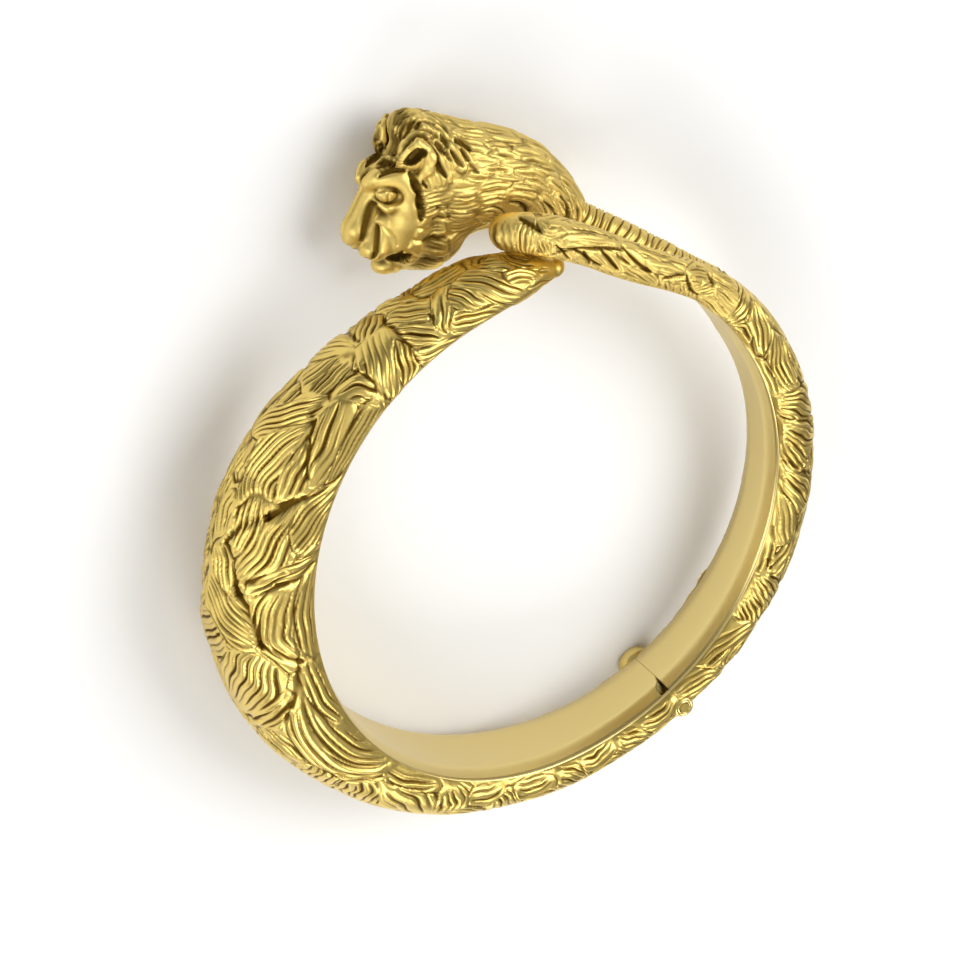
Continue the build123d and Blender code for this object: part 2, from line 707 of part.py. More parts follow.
def joined_back():
    near_end, far_end, middle = hinge_ends()
    room = barrel_radius + seam_gap
    low, high = -middle - knuckle_gap, middle + knuckle_gap
    band = back_band().solid(tuple)
    band = band - hinge_piece(room, low, high)
    band = band + hinge_piece(barrel_radius, high, near_end) + hinge_piece(barrel_radius, far_end, low)
    return band - hinge_piece(pin_diameter / 2 + pin_clearance, far_end - cut_past, near_end + cut_past)


def hinge_pin():
    near_end, far_end, _ = hinge_ends()
    return hinge_piece(pin_diameter / 2, far_end, near_end)


def resting_plane(points):
    """The plane that the bangle rests on: below all points, and highest under their middle."""
    middle = points.mean(axis=0)
    slopes = np.zeros(2)
    step = 0.2

    def height(slopes):
        return (points[:, 2] - points[:, :2] @ slopes).min() + middle[:2] @ slopes
    while step > 1e-7:
        moved = False
        for direction in ((1, 0), (-1, 0), (0, 1), (0, -1), (1, 1), (-1, -1), (1, -1), (-1, 1)):
            trial = slopes + step * np.array(direction)
            if height(trial) > height(slopes):
                slopes = trial
                moved = True
        if not moved:
            step /= 2
    return slopes, height(slopes), middle


def main():
    pieces = {
        "front_band": joined_front(),
        "back_band": joined_back(),
        "lion_head": lion_head().solid(tuple),
        "hinge_pin": hinge_pin(),
    }
    points = np.array([tuple(v.center()) for piece in pieces.values() for v in piece.vertices()])
    slopes, level, middle = resting_plane(points)
    up = Vector(-slopes[0], -slopes[1], 1).normalized()
    floor = Plane(origin=(middle[0], middle[1], level), x_dir=(1, 0, slopes[0]), z_dir=up)
    laid = {name: floor.location.inverse() * piece for name, piece in pieces.items()}
    box = Compound(list(laid.values())).bounding_box()
    centre = Pos(-(box.min.X + box.max.X) / 2, -(box.min.Y + box.max.Y) / 2, -box.min.Z)
    os.makedirs("parts", exist_ok=True)
    for name, piece in laid.items():
        export_step(centre * piece, f"parts/{name}.step")
    place = centre * floor.location.inverse()
    return pieces, place


if __name__ == "__main__":
    main()
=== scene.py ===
import json

import bpy
import numpy as np
from mathutils import Matrix, Vector


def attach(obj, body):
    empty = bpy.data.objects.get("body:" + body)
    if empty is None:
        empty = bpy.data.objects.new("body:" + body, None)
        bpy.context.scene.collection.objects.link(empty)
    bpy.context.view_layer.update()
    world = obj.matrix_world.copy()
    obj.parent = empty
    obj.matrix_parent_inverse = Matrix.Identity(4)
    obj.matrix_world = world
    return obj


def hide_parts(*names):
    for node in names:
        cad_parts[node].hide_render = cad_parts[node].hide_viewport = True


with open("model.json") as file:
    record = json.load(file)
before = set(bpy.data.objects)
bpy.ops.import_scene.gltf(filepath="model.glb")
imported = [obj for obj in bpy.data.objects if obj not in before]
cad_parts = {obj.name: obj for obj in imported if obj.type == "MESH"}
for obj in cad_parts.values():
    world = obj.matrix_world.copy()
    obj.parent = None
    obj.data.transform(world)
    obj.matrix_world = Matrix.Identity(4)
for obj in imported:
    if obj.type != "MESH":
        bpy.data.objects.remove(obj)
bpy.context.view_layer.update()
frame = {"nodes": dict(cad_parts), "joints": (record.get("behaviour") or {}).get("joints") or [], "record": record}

# The bangle is modelled in its own ring frame in millimetres: the ring lies in X and Y round the
# origin, and its near side is +Z. A station is an angle round the ring in degrees: 0 is where the
# halves cross, 90 the middle of the carved front half, 220.5 the hinge. Sizes are width and height
# of a half's largest section; SEAM_LEAN is in degrees.
TURN = np.pi / 180
INNER_RADIUS = 29.0
HINGE_STATION = 220.5
HINGE_RADIUS = 31.5
HINGE_DEPTH = HINGE_RADIUS - INNER_RADIUS
SEAM_GAP = 0.02
SEAM_FADE = 0.6
SEAM_LEAN = 27.0
FRONT_SIZE = (13.8, 8.8)
BACK_SIZE = (9.2, 5.3)
FRONT_TIP = 5.0
SPLIT = 322.0
SPLIT_RISE = 0.49
STRAND_WIDTH = 4.2
STRAND_HEIGHT = 4.1
SIDE_OVERHANG = 0.75
SIDE_SHARE = 0.32
CROWN_ROUNDNESS = 2.3

mount = frame["record"]["mounts"][0]
joint = frame["joints"][0]
ring_centre = np.array(mount["pos_m"])
ring_z = np.array(mount["axis"])
arm = np.array(joint["pos_m"]) - ring_centre
arm -= ring_z * (arm @ ring_z)
arm /= np.linalg.norm(arm)
beside = np.cross(ring_z, arm)
hinge_angle = (HINGE_STATION - 90) * TURN
ring_x = np.cos(hinge_angle) * arm - np.sin(hinge_angle) * beside
ring_y = np.sin(hinge_angle) * arm + np.cos(hinge_angle) * beside
ring_axes = np.array([ring_x, ring_y, ring_z])


def to_frame(points):
    """Ring frame in millimetres to the model's frame in metres."""
    return ring_centre + np.asarray(points, float) / 1000 @ ring_axes


# The patina's cloud, the share of colour in the middle between the open colour and the hollow colour of patina and
# painted shade, and the fine grain of the casting in metres
CLOUD_SHARE = 0.35
CLOUD_SHIFT = -0.17
HALF_SHADE_AND_PATINA = 0.45
GRAIN_FINENESS = 14
GRAIN_DEPTH = 0.00008


def noise(tree, place, scale, detail):
    """A noise in the piece's own coordinates."""
    node = tree.nodes.new("ShaderNodeTexNoise")
    node.inputs["Scale"].default_value = scale
    node.inputs["Detail"].default_value = detail
    tree.links.new(place.outputs["Object"], node.inputs["Vector"])
    return node.outputs["Fac"]


def gold(name, bright, deep, rough, deep_rough, bump, scale):
    """Cast gold, darker and rougher where the surface is hollow."""
    material = bpy.data.materials.new(name)
    material.use_nodes = True
    tree = material.node_tree
    nodes, links = tree.nodes, tree.links
    shader = nodes["Principled BSDF"]
    shader.inputs["Metallic"].default_value = 1.0
    # The hollow colour is the patina in the gold's hollows together with painted shade there
    hollow = nodes.new("ShaderNodeAttribute")
    hollow.attribute_name = "hollow"
    place = nodes.new("ShaderNodeTexCoord")
    spread = nodes.new("ShaderNodeMath")
    spread.operation = "MULTIPLY_ADD"
    spread.inputs[1].default_value = CLOUD_SHARE
    spread.inputs[2].default_value = CLOUD_SHIFT
    links.new(noise(tree, place, scale, 4.0), spread.inputs[0])
    total = nodes.new("ShaderNodeMath")
    total.operation = "ADD"
    links.new(hollow.outputs["Fac"], total.inputs[0])
    links.new(spread.outputs[0], total.inputs[1])
    tint = nodes.new("ShaderNodeValToRGB")
    ramp = tint.color_ramp
    ramp.elements[0].position = 0.05
    ramp.elements[0].color = (*bright, 1)
    ramp.elements[1].position = 0.95
    ramp.elements[1].color = (*deep, 1)
    middle = ramp.elements.new(HALF_SHADE_AND_PATINA)
    middle.color = (*[HALF_SHADE_AND_PATINA * b + (1 - HALF_SHADE_AND_PATINA) * d for b, d in zip(bright, deep)], 1)
    links.new(total.outputs[0], tint.inputs["Fac"])
    links.new(tint.outputs["Color"], shader.inputs["Base Color"])
    gloss = nodes.new("ShaderNodeMapRange")
    gloss.inputs["To Min"].default_value = rough
    gloss.inputs["To Max"].default_value = deep_rough
    links.new(total.outputs[0], gloss.inputs["Value"])
    links.new(gloss.outputs["Result"], shader.inputs["Roughness"])
    relief = nodes.new("ShaderNodeBump")
    relief.inputs["Strength"].default_value = bump
    relief.inputs["Distance"].default_value = GRAIN_DEPTH
    links.new(noise(tree, place, scale * GRAIN_FINENESS, 3.0), relief.inputs["Height"])
    links.new(relief.outputs["Normal"], shader.inputs["Normal"])
    return material


# Colour of the open and of the hollow surface, where patina and painted shade darken it, roughness of both, bump,
# and how fine the cloud is
CARVED = gold("carved_gold_look", (0.79, 0.59, 0.17), (0.13, 0.07, 0.008), 0.34, 0.55, 0.35, 130)
FINE = gold("fine_gold_look", (0.81, 0.61, 0.185), (0.14, 0.08, 0.010), 0.48, 0.62, 0.35, 130)
KNUCKLE = gold("knuckle_gold_look", (0.80, 0.63, 0.22), (0.20, 0.12, 0.02), 0.28, 0.5, 0.25, 90)
POLISHED = gold("polished_gold_look", (0.73, 0.585, 0.245), (0.10, 0.06, 0.012), 0.30, 0.5, 0.20, 60)
for node in frame["nodes"].values():
    for index in range(len(node.material_slots)):
        node.material_slots[index].material = CARVED


def add_object(name, data):
    """A new object in the scene."""
    made = bpy.data.objects.new(name, data)
    bpy.context.scene.collection.objects.link(made)
    return made


def make_piece(name, points, faces, hollow, body, material, stands_for=(), normals=None):
    """A smooth mesh of quads from ring frame points, riding on a body."""
    points = to_frame(points)
    faces = np.asarray(faces)
    mesh = bpy.data.meshes.new(name)
    sides = faces.shape[1]
    mesh.vertices.add(len(points))
    mesh.vertices.foreach_set("co", points.ravel())
    mesh.loops.add(faces.size)
    mesh.loops.foreach_set("vertex_index", faces.ravel().astype(np.int32))
    mesh.polygons.add(len(faces))
    mesh.polygons.foreach_set("loop_start", np.arange(0, faces.size, sides, dtype=np.int32))
    mesh.update(calc_edges=True)
    mesh.validate()
    mesh.polygons.foreach_set("use_smooth", np.ones(len(mesh.polygons), bool))
    # The hollow attribute darkens the colour: painted shade, and patina in the carved hollows
    layer = mesh.attributes.new("hollow", "FLOAT", "POINT")
    layer.data.foreach_set("value", np.clip(hollow, 0, 1).astype(np.float32).ravel())
    mesh.materials.append(material)
    if normals is not None:
        mesh.normals_split_custom_set_from_vertices((normals @ ring_axes).tolist())
    piece = add_object(name, mesh)
    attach(piece, body)
    if stands_for:
        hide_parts(*stands_for)


def grid_faces(rows, columns, closed=False):
    """Quads of a grid of points, optionally closed round its columns."""
    index = np.arange(rows * columns).reshape(rows, columns)
    after = np.roll(index, -1, axis=1) if closed else index[:, 1:]
    here = index if closed else index[:, :-1]
    return np.stack([here[:-1], after[:-1], after[1:], here[1:]], -1).reshape(-1, 4)


# Sections as shares of the half's size: station, width, height, shift to the near side
FRONT_SECTIONS = [
    (5, 0.26, 0.255, 0.053), (9, 0.39, 0.34, 0.070), (14, 0.50, 0.42, 0.092),
    (20, 0.57, 0.48, 0.100), (35, 0.65, 0.52, 0.088), (50, 0.73, 0.64, 0.062),
    (75, 0.87, 0.92, 0.022), (100, 0.96, 1.00, 0.0), (125, 1.00, 0.92, 0.0),
    (140, 0.985, 0.80, 0.0), (160, 0.94, 0.66, 0.0), (185, 0.82, 0.50, 0.0),
    (203, 0.72, 0.48, 0.0), (222, 0.665, 0.48, 0.0),
]
BACK_SECTIONS = [
    (218, 1.0, 0.80, 0), (230, 0.98, 0.86, 0), (240, 0.96, 0.93, 0), (260, 0.91, 1.00, 0),
    (280, 0.89, 1.00, 0), (300, 0.90, 0.92, 0), (322, 0.95, 0.775, 0),
]

# Patches of carving, charted from the visible side. Each has a spine through three places,
# given by station and place across: -1 is the near liner edge, 0 the crown, 1 the far edge.
# The cuts run along the spine. The width is in millimetres, and lift is how proud it stands.
FRONT_PATCHES = [
    # spine: start, middle, end; width, cuts, lift
    (15, -.83, 10, -.72, 6, -.55, 2.6, 3, 0.5),
    (20, -.49, 15, -.51, 8, -.62, 3.0, 5, 0.4),
    (15, .14, 13.5, -.14, 10.5, -.34, 2.4, 3, 0.1),
    (22, .22, 18.5, 0, 15, -.26, 4.4, 5, 0.3),
    (9, .35, 7, .05, 6, -.25, 2.6, 4, 0.3),
    (26, -.06, 21, -.40, 13.5, -.76, 4.6, 6, 0.6),
    (31, -.60, 27, -.77, 19, -.95, 3.4, 4, 0.4),
    (29.5, -.12, 27, -.43, 23.5, -.72, 3.6, 5, 0.2),
    (33.5, -.72, 31.5, -.37, 26.5, .02, 2.6, 3, 0.7),
    (40.5, -.70, 36, -.86, 31, -.97, 2.8, 3, 0.4),
    (40.5, -.24, 37.5, -.48, 34, -.74, 3.4, 5, 0.1),
    (40, .10, 36.5, -.12, 32, -.28, 5.0, 7, 0.5),
    (34, .18, 28, .12, 22, .20, 4.2, 6, 0.2),
    (45.5, -.96, 43, -.66, 40.5, -.34, 2.8, 4, 0.6),
    (50.5, -.96, 47, -.50, 41.5, .02, 5.4, 7, 0.8),
    (41, .40, 38.5, .22, 34, .14, 4.0, 5, 0.5),
    (58.5, -.12, 54, -.13, 49.5, -.11, 3.6, 5, 0.1),
    (60.5, .22, 56, .08, 50, -.02, 4.2, 5, 0.6),
    (56, -.38, 51, -.52, 50, -.80, 3.8, 3, 0.5),
    (70, -.66, 64, -.60, 55, -.40, 4.2, 4, 0.8),
    (68.5, -.95, 60, -.83, 52, -.72, 3.6, 5, 0.3),
    (69.5, .26, 64, -.02, 58, -.28, 4.8, 7, 0.7),
    (80, -.26, 72.5, -.17, 63, -.30, 5.4, 8, 0.4),
    (76, -.50, 71, -.48, 65, -.42, 3.2, 4, 0.2),
    (80, .06, 76, .14, 71, .10, 4.6, 6, 0.5),
    (84, -.66, 78, -.76, 70, -.93, 4.6, 6, 0.3),
    (87, .02, 82, .08, 78, .02, 3.6, 4, 0.6),
    (88, -.20, 83, -.28, 75, -.17, 4.0, 6, 0.3),
    (92.5, -.31, 85.5, -.50, 76, -.60, 5.4, 8, 0.6),
    (93.5, -.38, 90, -.58, 86, -.93, 2.4, 2, 0.2),
    (91, .34, 86, .30, 80, .36, 4.8, 6, 0.4),
    (106, -.72, 100, -.60, 92, -.66, 5.0, 6, 0.5),
    (107, -.91, 99, -.88, 90, -.91, 2.8, 3, 0.3),
    (103, -.46, 99.5, -.12, 94, .20, 6.6, 9, 1.0),
    (96, -.22, 92, -.12, 88, -.02, 3.6, 5, 1.0),
    (105, .42, 99, .36, 93, .44, 5.2, 6, 0.4),
    (106, -.47, 112, -.31, 119.5, -.04, 6.4, 8, 0.7),
    (116, .10, 111, .22, 106, .20, 5.0, 6, 0.3),
    (126, -.93, 119, -.89, 108, -.86, 2.8, 3, 0.3),
    (123.5, -.06, 120.5, -.36, 115, -.64, 3.0, 4, 0.6),
    (130.5, -.36, 126.5, -.34, 122, -.20, 4.6, 6, 0.2),
    (143, -.77, 131, -.56, 115.5, -.70, 3.4, 4, 1.0),
    (142, -.91, 133, -.80, 118, -.80, 2.8, 3, 0.5),
    (128, .20, 124, .10, 119, .16, 4.8, 6, 0.5),
    (140, -.16, 137.5, -.34, 134, -.52, 5.0, 6, 0.5),
    (134, .02, 131, -.10, 127, -.16, 4.4, 5, 0.6),
    (148, -.28, 145, -.48, 141, -.66, 4.8, 6, 0.3),
    (158, -.90, 151, -.88, 144, -.90, 2.6, 3, 0.4),
    (160, -.50, 154, -.66, 147, -.78, 4.2, 4, 0.7),
    (162, -.24, 155, -.30, 149, -.16, 4.8, 6, 0.4),
    (146, .12, 142, .02, 137, .10, 4.8, 6, 0.5),
    (166, -.62, 164, -.78, 162, -.94, 4.2, 5, 0.6),
    (172, -.40, 168, -.50, 163, -.46, 4.2, 5, 0.3),
    (177, -.88, 172, -.82, 167, -.84, 3.0, 3, 0.2),
    (181, -.52, 177, -.72, 175, -.94, 3.4, 5, 0.6),
    (180, -.24, 174, -.24, 168, -.16, 4.0, 5, 0.4),
    (187, -.80, 183, -.78, 178, -.86, 3.2, 4, 0.3),
    (189, -.44, 185, -.52, 180, -.40, 3.6, 4, 0.5),
    (196, -.56, 193, -.76, 190, -.94, 3.6, 5, 0.6),
    (197, -.20, 191, -.22, 185, -.14, 3.6, 4, 0.3),
    (203, -.90, 199, -.80, 195, -.90, 2.8, 3, 0.3),
    (205, -.48, 201, -.60, 197, -.40, 3.2, 4, 0.5),
    (211, -.60, 208, -.76, 205, -.94, 3.2, 4, 0.6),
    (214, -.28, 208, -.26, 202, -.12, 3.2, 4, 0.4),
    (219, -.86, 215, -.80, 211, -.90, 2.6, 3, 0.3),
    (219, -.44, 216, -.56, 212, -.44, 2.8, 3, 0.5),
]
BACK_PATCHES = [
    (221, .34, 224.5, .42, 229, .30, 2.8, 4, .4),
    (221, .84, 224, .80, 228, .66, 2.8, 4, .5),
    (221.5, -.04, 226, .02, 231, -.04, 2.6, 4, .5),
    (222, -.30, 225, -.40, 229, -.30, 2.8, 3, 0.4),
    (221, -.90, 226, -.80, 230, -.60, 2.8, 4, 0.5),
    (229, -.94, 234, -.86, 242, -.60, 2.8, 4, 0.7),
    (232, -.60, 235, -.68, 240, -.56, 2.2, 3, 0.3),
    (231, -.30, 236, -.26, 242, -.30, 3.0, 4, 0.5),
    (252, -.94, 249, -.68, 245.5, -.44, 3.6, 5, 0.6),
    (247, -.94, 245, -.70, 242, -.46, 2.6, 4, 0.4),
    (243, -.20, 248, -.10, 254, -.16, 3.4, 4, 0.4),
    (262, -.62, 257, -.70, 253, -.86, 2.6, 3, 0.6),
    (260, -.94, 256, -.92, 252, -.95, 1.8, 2, 0.2),
    (262, -.34, 256, -.40, 251, -.30, 3.4, 4, 0.4),
    (271, -.94, 264, -.76, 259, -.68, 3.0, 4, 0.7),
    (276, -.95, 271, -.68, 266, -.34, 3.6, 5, 0.5),
    (267, -.50, 264, -.44, 260, -.46, 2.6, 3, 0.3),
    (264, -.08, 270, -.04, 276, -.12, 3.6, 5, 0.5),
    (284, -.94, 279, -.78, 276, -.66, 3.0, 4, 0.3),
    (287, -.86, 284, -.60, 280, -.32, 4.4, 6, 0.7),
    (279, -.40, 275, -.34, 271, -.24, 3.2, 4, 0.4),
    (294, -.88, 290, -.56, 286, -.32, 4.2, 6, 0.5),
    (281, .00, 287, .02, 293, -.06, 3.6, 5, 0.4),
    (308, -.54, 302, -.70, 295.5, -.66, 4.0, 6, 0.6),
    (306, -.92, 301, -.93, 296, -.93, 1.8, 2, 0.2),
    (303, -.36, 299, -.40, 295, -.38, 2.8, 4, 0.3),
    (317.5, -.34, 314, -.62, 308, -.84, 3.6, 5, 0.7),
    (314, -.22, 309, -.30, 304, -.16, 3.2, 4, 0.4),
    (321.5, -.90, 320.5, -.60, 320, -.24, 2.8, 4, 0.5),
    (318, -.92, 315, -.88, 311, -.94, 2.4, 3, 0.2),
    (295, .04, 301, .06, 308, .02, 3.4, 4, 0.5),
    (309, .06, 314, .08, 320, .02, 3.2, 4, 0.4),
]
# Valleys cut deep between the patches: the same spine, then width and depth in millimetres
FRONT_VALLEYS = [
    (107.8, -.82, 106, -.68, 103.5, -.50, 0.7, 0.55),
    (104, -.50, 98, -.42, 94, -.27, 0.9, 0.60),
    (95, -.30, 91, -.20, 87.8, -.10, 1.1, 0.75),
    (87.5, -.09, 82.5, -.27, 80, -.42, 0.6, 0.45),
    (80, -.42, 77.5, -.52, 75, -.60, 0.8, 0.50),
    (80, -.43, 77, -.52, 74, -.63, 0.9, 0.50),
    (74, -.66, 71, -.80, 67, -.90, 0.9, 0.40),
    (70, -.62, 66, -.46, 61, -.33, 0.8, 0.45),
    (61, -.32, 55, -.30, 50, -.31, 0.8, 0.50),
    (49.6, -.90, 49.8, -.60, 48.5, -.34, 0.7, 0.40),
    (40.2, .02, 40.2, -.36, 40.6, -.78, 0.6, 0.40),
    (38.5, -.42, 36.5, -.54, 34.6, -.66, 0.9, 0.30),
    (33.8, -.34, 33.4, -.50, 33, -.68, 0.5, 0.40),
    (14, .06, 13, -.12, 12, -.28, 1.5, 0.55),
    (137.5, -.52, 129, -.47, 119, -.58, 0.8, 0.45),
    (143.5, -.79, 140, -.70, 136.5, -.60, 0.7, 0.50),
    (122, -.05, 120.5, -.34, 116.5, -.62, 0.6, 0.40),
    (117, -.62, 113, -.72, 109, -.78, 0.7, 0.40),
    (104.5, -.07, 104.3, -.3, 104, -.5, 0.5, 0.30),
    (91, -.62, 89.5, -.78, 87, -.95, 1.0, 0.50),
    (93, -.28, 91, -.5, 88.5, -.66, 0.6, 0.35),
]
BACK_VALLEYS = [
    (256, -.90, 251, -.66, 246, -.44, 0.5, 0.30),
    (279, -.95, 276, -.66, 272, -.30, 0.5, 0.35),
    (296, -.50, 292, -.40, 287, -.20, 0.6, 0.30),
]
FRONT_MIRROR_TURN = 6.0
BACK_MIRROR_TURN = 4.0
FRONT_HALF = (FRONT_SECTIONS, FRONT_SIZE, FRONT_PATCHES, FRONT_VALLEYS, FRONT_MIRROR_TURN)
BACK_HALF = (BACK_SECTIONS, BACK_SIZE, BACK_PATCHES, BACK_VALLEYS, BACK_MIRROR_TURN)
MIRROR_BELOW = -0.06
SIDE_STEPS = 40
CROWN_STEPS = 120


def hermite(values, slope, width, i, share):
    """The smooth curve from value i of a table to the next one, at a share of the way."""
    rest = 1 - share
    return (rest * rest * (1 + 2 * share) * values[i] + share * share * (1 + 2 * rest) * values[i + 1]
            + rest * rest * share * width * slope[i] - share * share * rest * width * slope[i + 1])


def smooth_table(table, station, column):
    """One column of a table of sections at any station."""
    rows = np.array(table, float)
    x, y = rows[:, 0], rows[:, column]
    station = np.asarray(station, float)
    i = np.clip(np.searchsorted(x, station) - 1, 0, len(x) - 2)
    width = x[i + 1] - x[i]
    return hermite(y, np.gradient(y, x), width, i, np.clip((station - x[i]) / width, 0, 1))


def ring_point(station, radius, axial):
    """Points of the ring frame from station, distance from the ring's axis and place along it."""
    angle = (np.asarray(station, float) - 90) * TURN
    return np.stack(np.broadcast_arrays(radius * np.cos(angle), radius * np.sin(angle), axial), -1)


def d_section(width, height, places):
    """The outside of a section: place across and height at places, and its length to the crown."""
    share = np.linspace(0, 1, SIDE_STEPS)
    side_across = width / 2 - SIDE_OVERHANG + SIDE_OVERHANG * (1 - (1 - share) ** 2)
    side_up = SIDE_SHARE * height * share
    angle = np.linspace(0, np.pi / 2, CROWN_STEPS)[1:]
    crown_across = width / 2 * np.cos(angle) ** (2 / CROWN_ROUNDNESS)
    crown_up = height * (SIDE_SHARE + (1 - SIDE_SHARE) * np.sin(angle) ** (2 / CROWN_ROUNDNESS))
    across = np.concatenate([side_across, crown_across])
    up = np.concatenate([side_up, crown_up])
    reach = np.concatenate([[0], np.cumsum(np.hypot(np.diff(across), np.diff(up)))])
    at = (1 - np.abs(places)) * reach[-1]
    near_side = np.where(places <= 0, 1, -1)
    return near_side * np.interp(at, reach, across), np.interp(at, reach, up), reach[-1]


def blur(field, radius):
    """Three running means along both directions of a grid."""
    for _ in range(3):
        for way in (0, 1):
            padded = np.pad(field, [(radius + 1, radius) if k == way else (0, 0) for k in (0, 1)],
                            mode="edge")
            total = np.cumsum(padded, axis=way)
            high = np.take(total, range(2 * radius + 1, total.shape[way]), axis=way)
            low = np.take(total, range(0, total.shape[way] - 2 * radius - 1), axis=way)
            field = (high - low) / (2 * radius + 1)
    return field


SPINE_TRIES = 17
SPINE_ROUNDS = 3
SPINE_OVERRUN = 0.2


def spine_point(spine, bend, share):
    """Place on a curved spine at a share of its way."""
    rest = 1 - share
    return [rest * rest * a + 2 * rest * share * b + share * share * c
            for a, b, c in zip(spine[0], bend, spine[2])]


def spine_slope(spine, bend, share):
    """Direction of a curved spine at a share of its way."""
    rest = 1 - share
    return [2 * (rest * (b - a) + share * (c - b)) for a, b, c in zip(spine[0], bend, spine[2])]


def spine_place(x, y, spine):
    """Share along a spine, signed distance aside of it and distance from it, for many points."""
    bend = [2 * b - (a + c) / 2 for a, b, c in zip(*spine)]
    tries = np.linspace(0, 1, SPINE_TRIES)[:, None]
    on_x, on_y = spine_point(spine, bend, tries)
    share = tries[np.argmin((x[None] - on_x) ** 2 + (y[None] - on_y) ** 2, axis=0), 0]
    for _ in range(SPINE_ROUNDS):
        on_x, on_y = spine_point(spine, bend, share)
        dx, dy = spine_slope(spine, bend, share)
        step = ((x - on_x) * dx + (y - on_y) * dy) / (dx * dx + dy * dy + 1e-9)
        share = np.clip(share + step, -SPINE_OVERRUN, 1 + SPINE_OVERRUN)
    on_x, on_y = spine_point(spine, bend, share)
    dx, dy = spine_slope(spine, bend, share)
    aside = ((y - on_y) * dx - (x - on_x) * dy) / (np.hypot(dx, dy) + 1e-9)
    on_x, on_y = spine_point(spine, bend, np.clip(share, 0, 1))
    return share, aside, np.hypot(x - on_x, y - on_y)


def spread_patches(table, mirror_turn):
    """The charted rows, with those of the near flank repeated on the far one."""
    placed = []
    for row in table:
        placed.append(row)
        if row[3] < MIRROR_BELOW:
            mirrored = [c + mirror_turn if k % 2 == 0 else -c for k, c in enumerate(row[:6])]
            placed.append((*mirrored, *row[6:]))
    return placed


# How a patch and its cuts are shaped: shares of the patch's width, length or spacing of cuts
MOST_CUTS = 24
PATCH_LIFT = 0.45
PATCH_TAPER = 0.35
PATCH_OVERRUN = 0.4
CUT_WAVE = 0.10
CUT_RIPPLE = 0.04
CUT_SHIFT = 0.16
CUT_START = -0.10
CUT_STOP = 1.10
START_SPREAD = 0.16
STOP_SPREAD = 0.24
HAIRLINE_WIDTH = 0.09
UNREACHED = 9.0
EDGE_DROP = 0.7


class Carving:
    """Patches of parallel cuts over a surface; each place belongs to the patch that fits best."""

    def __init__(self, count, seed, cut_width, cut_depth, border_width, border_depth, hairline=0.0):
        self.random = np.random.default_rng(seed)
        self.cut_width, self.cut_depth = cut_width, cut_depth
        self.border_width, self.border_depth = border_width, border_depth
        self.hairline = hairline
        self.best, self.second = np.full(count, UNREACHED), np.full(count, UNREACHED)
        self.best_half, self.second_half = np.ones(count), np.ones(count)
        self.panel, self.cut, self.border = np.zeros(count), np.zeros(count), np.zeros(count)

    def add_patch(self, where, x, y, marks, width, cuts, lift):
        """Cuts one patch round a spine into the places of the surface that it suits best."""
        jitter = self.random.uniform(-1, 1, (MOST_CUTS, 4))
        turns = self.random.uniform(0, 2 * np.pi, 3)
        if not len(where):
            return
        length = sum(np.hypot(b[0] - a[0], b[1] - a[1]) for a, b in zip(marks, marks[1:]))
        share, aside, _ = spine_place(x, y, marks)
        inner = np.clip(share, 0, 1)
        half = width / 2 * (1 - PATCH_TAPER * (2 * inner - 1) ** 2)
        beyond = np.abs(2 * share - 1) * length / (length + PATCH_OVERRUN * width)
        score = ((np.abs(aside) / half) ** 3 + beyond ** 3) ** (1 / 3)
        place = aside / half + CUT_WAVE * np.sin(5.5 * inner + turns[0])
        place = place + CUT_RIPPLE * np.sin(14 * inner + turns[1])
        phase = (place + 1) / 2 * cuts
        cut = np.clip(np.floor(phase), 0, MOST_CUTS - 1).astype(int)
        offset = (phase - cut - 0.5 + CUT_SHIFT * jitter[cut, 0]) * 2 * half / cuts
        start = CUT_START + START_SPREAD * (1 + jitter[cut, 1]) / 2
        stop = CUT_STOP - STOP_SPREAD * (1 + jitter[cut, 2]) / 2
        taper = np.sin(np.pi * np.clip((share - start) / (stop - start), 0, 1)) ** 0.5
        keen = self.cut_width * (0.45 + 0.65 * taper) * (1 + 0.3 * jitter[cut, 3])
        groove = self.cut_depth * taper * (0.85 + 0.4 * jitter[cut, 1])
        groove = groove * np.exp(-(np.abs(offset) / keen) ** 1.6)
        fine_phase = phase * 2 + 0.5 + 0.2 * jitter[cut, 2]
        fine_place = fine_phase - np.floor(fine_phase) - 0.5
        fine = np.exp(-(fine_place * half / cuts / HAIRLINE_WIDTH) ** 2)
        fine *= self.hairline * np.clip(np.sin(9 * inner + cut * 2.1 + turns[2]), 0, 1)
        level = PATCH_LIFT * (lift - 0.5) * (0.6 + 0.4 * inner) + 0.05 * jitter[0, 0] * aside
        old, old_half = self.best[where], self.best_half[where]
        wins = score < old
        runner = np.where(score < self.second[where], score, self.second[where])
        runner_half = np.where(score < self.second[where], half, self.second_half[where])
        self.second[where] = np.where(wins, old, runner)
        self.second_half[where] = np.where(wins, old_half, runner_half)
        self.best_half[where] = np.where(wins, half, old_half)
        self.panel[where] = np.where(wins, level, self.panel[where])
        self.cut[where] = np.where(wins, groove + fine, self.cut[where])
        border = 0.55 + 0.45 * np.sin(8 * inner + turns[2])
        self.border[where] = np.where(wins, border, self.border[where])
        self.best[where] = np.where(wins, score, old)

    def edges(self):
        """How near each place is to the border between two patches, from 0 to 1 on it."""
        border = (self.second - self.best) / (1 / self.best_half + 1 / self.second_half)
        return np.exp(-(border / self.border_width) ** 2)

    def height(self, panel):
        """Height of the surface over a panel, with the cuts and the borders of the patches."""
        edge = self.edges()
        return panel - self.cut * (1 - edge) - self.border_depth * self.border * edge

    def soft_height(self, share):
        """Height of the surface where the patches sink towards their borders."""
        return self.height(share * self.panel * (1 - EDGE_DROP * self.edges()))

    def weight(self, end, fade):
        """1 on the patches, falling to 0 where the best patch fits worse than the end."""
        return np.clip((end - self.best) / fade, 0, 1)


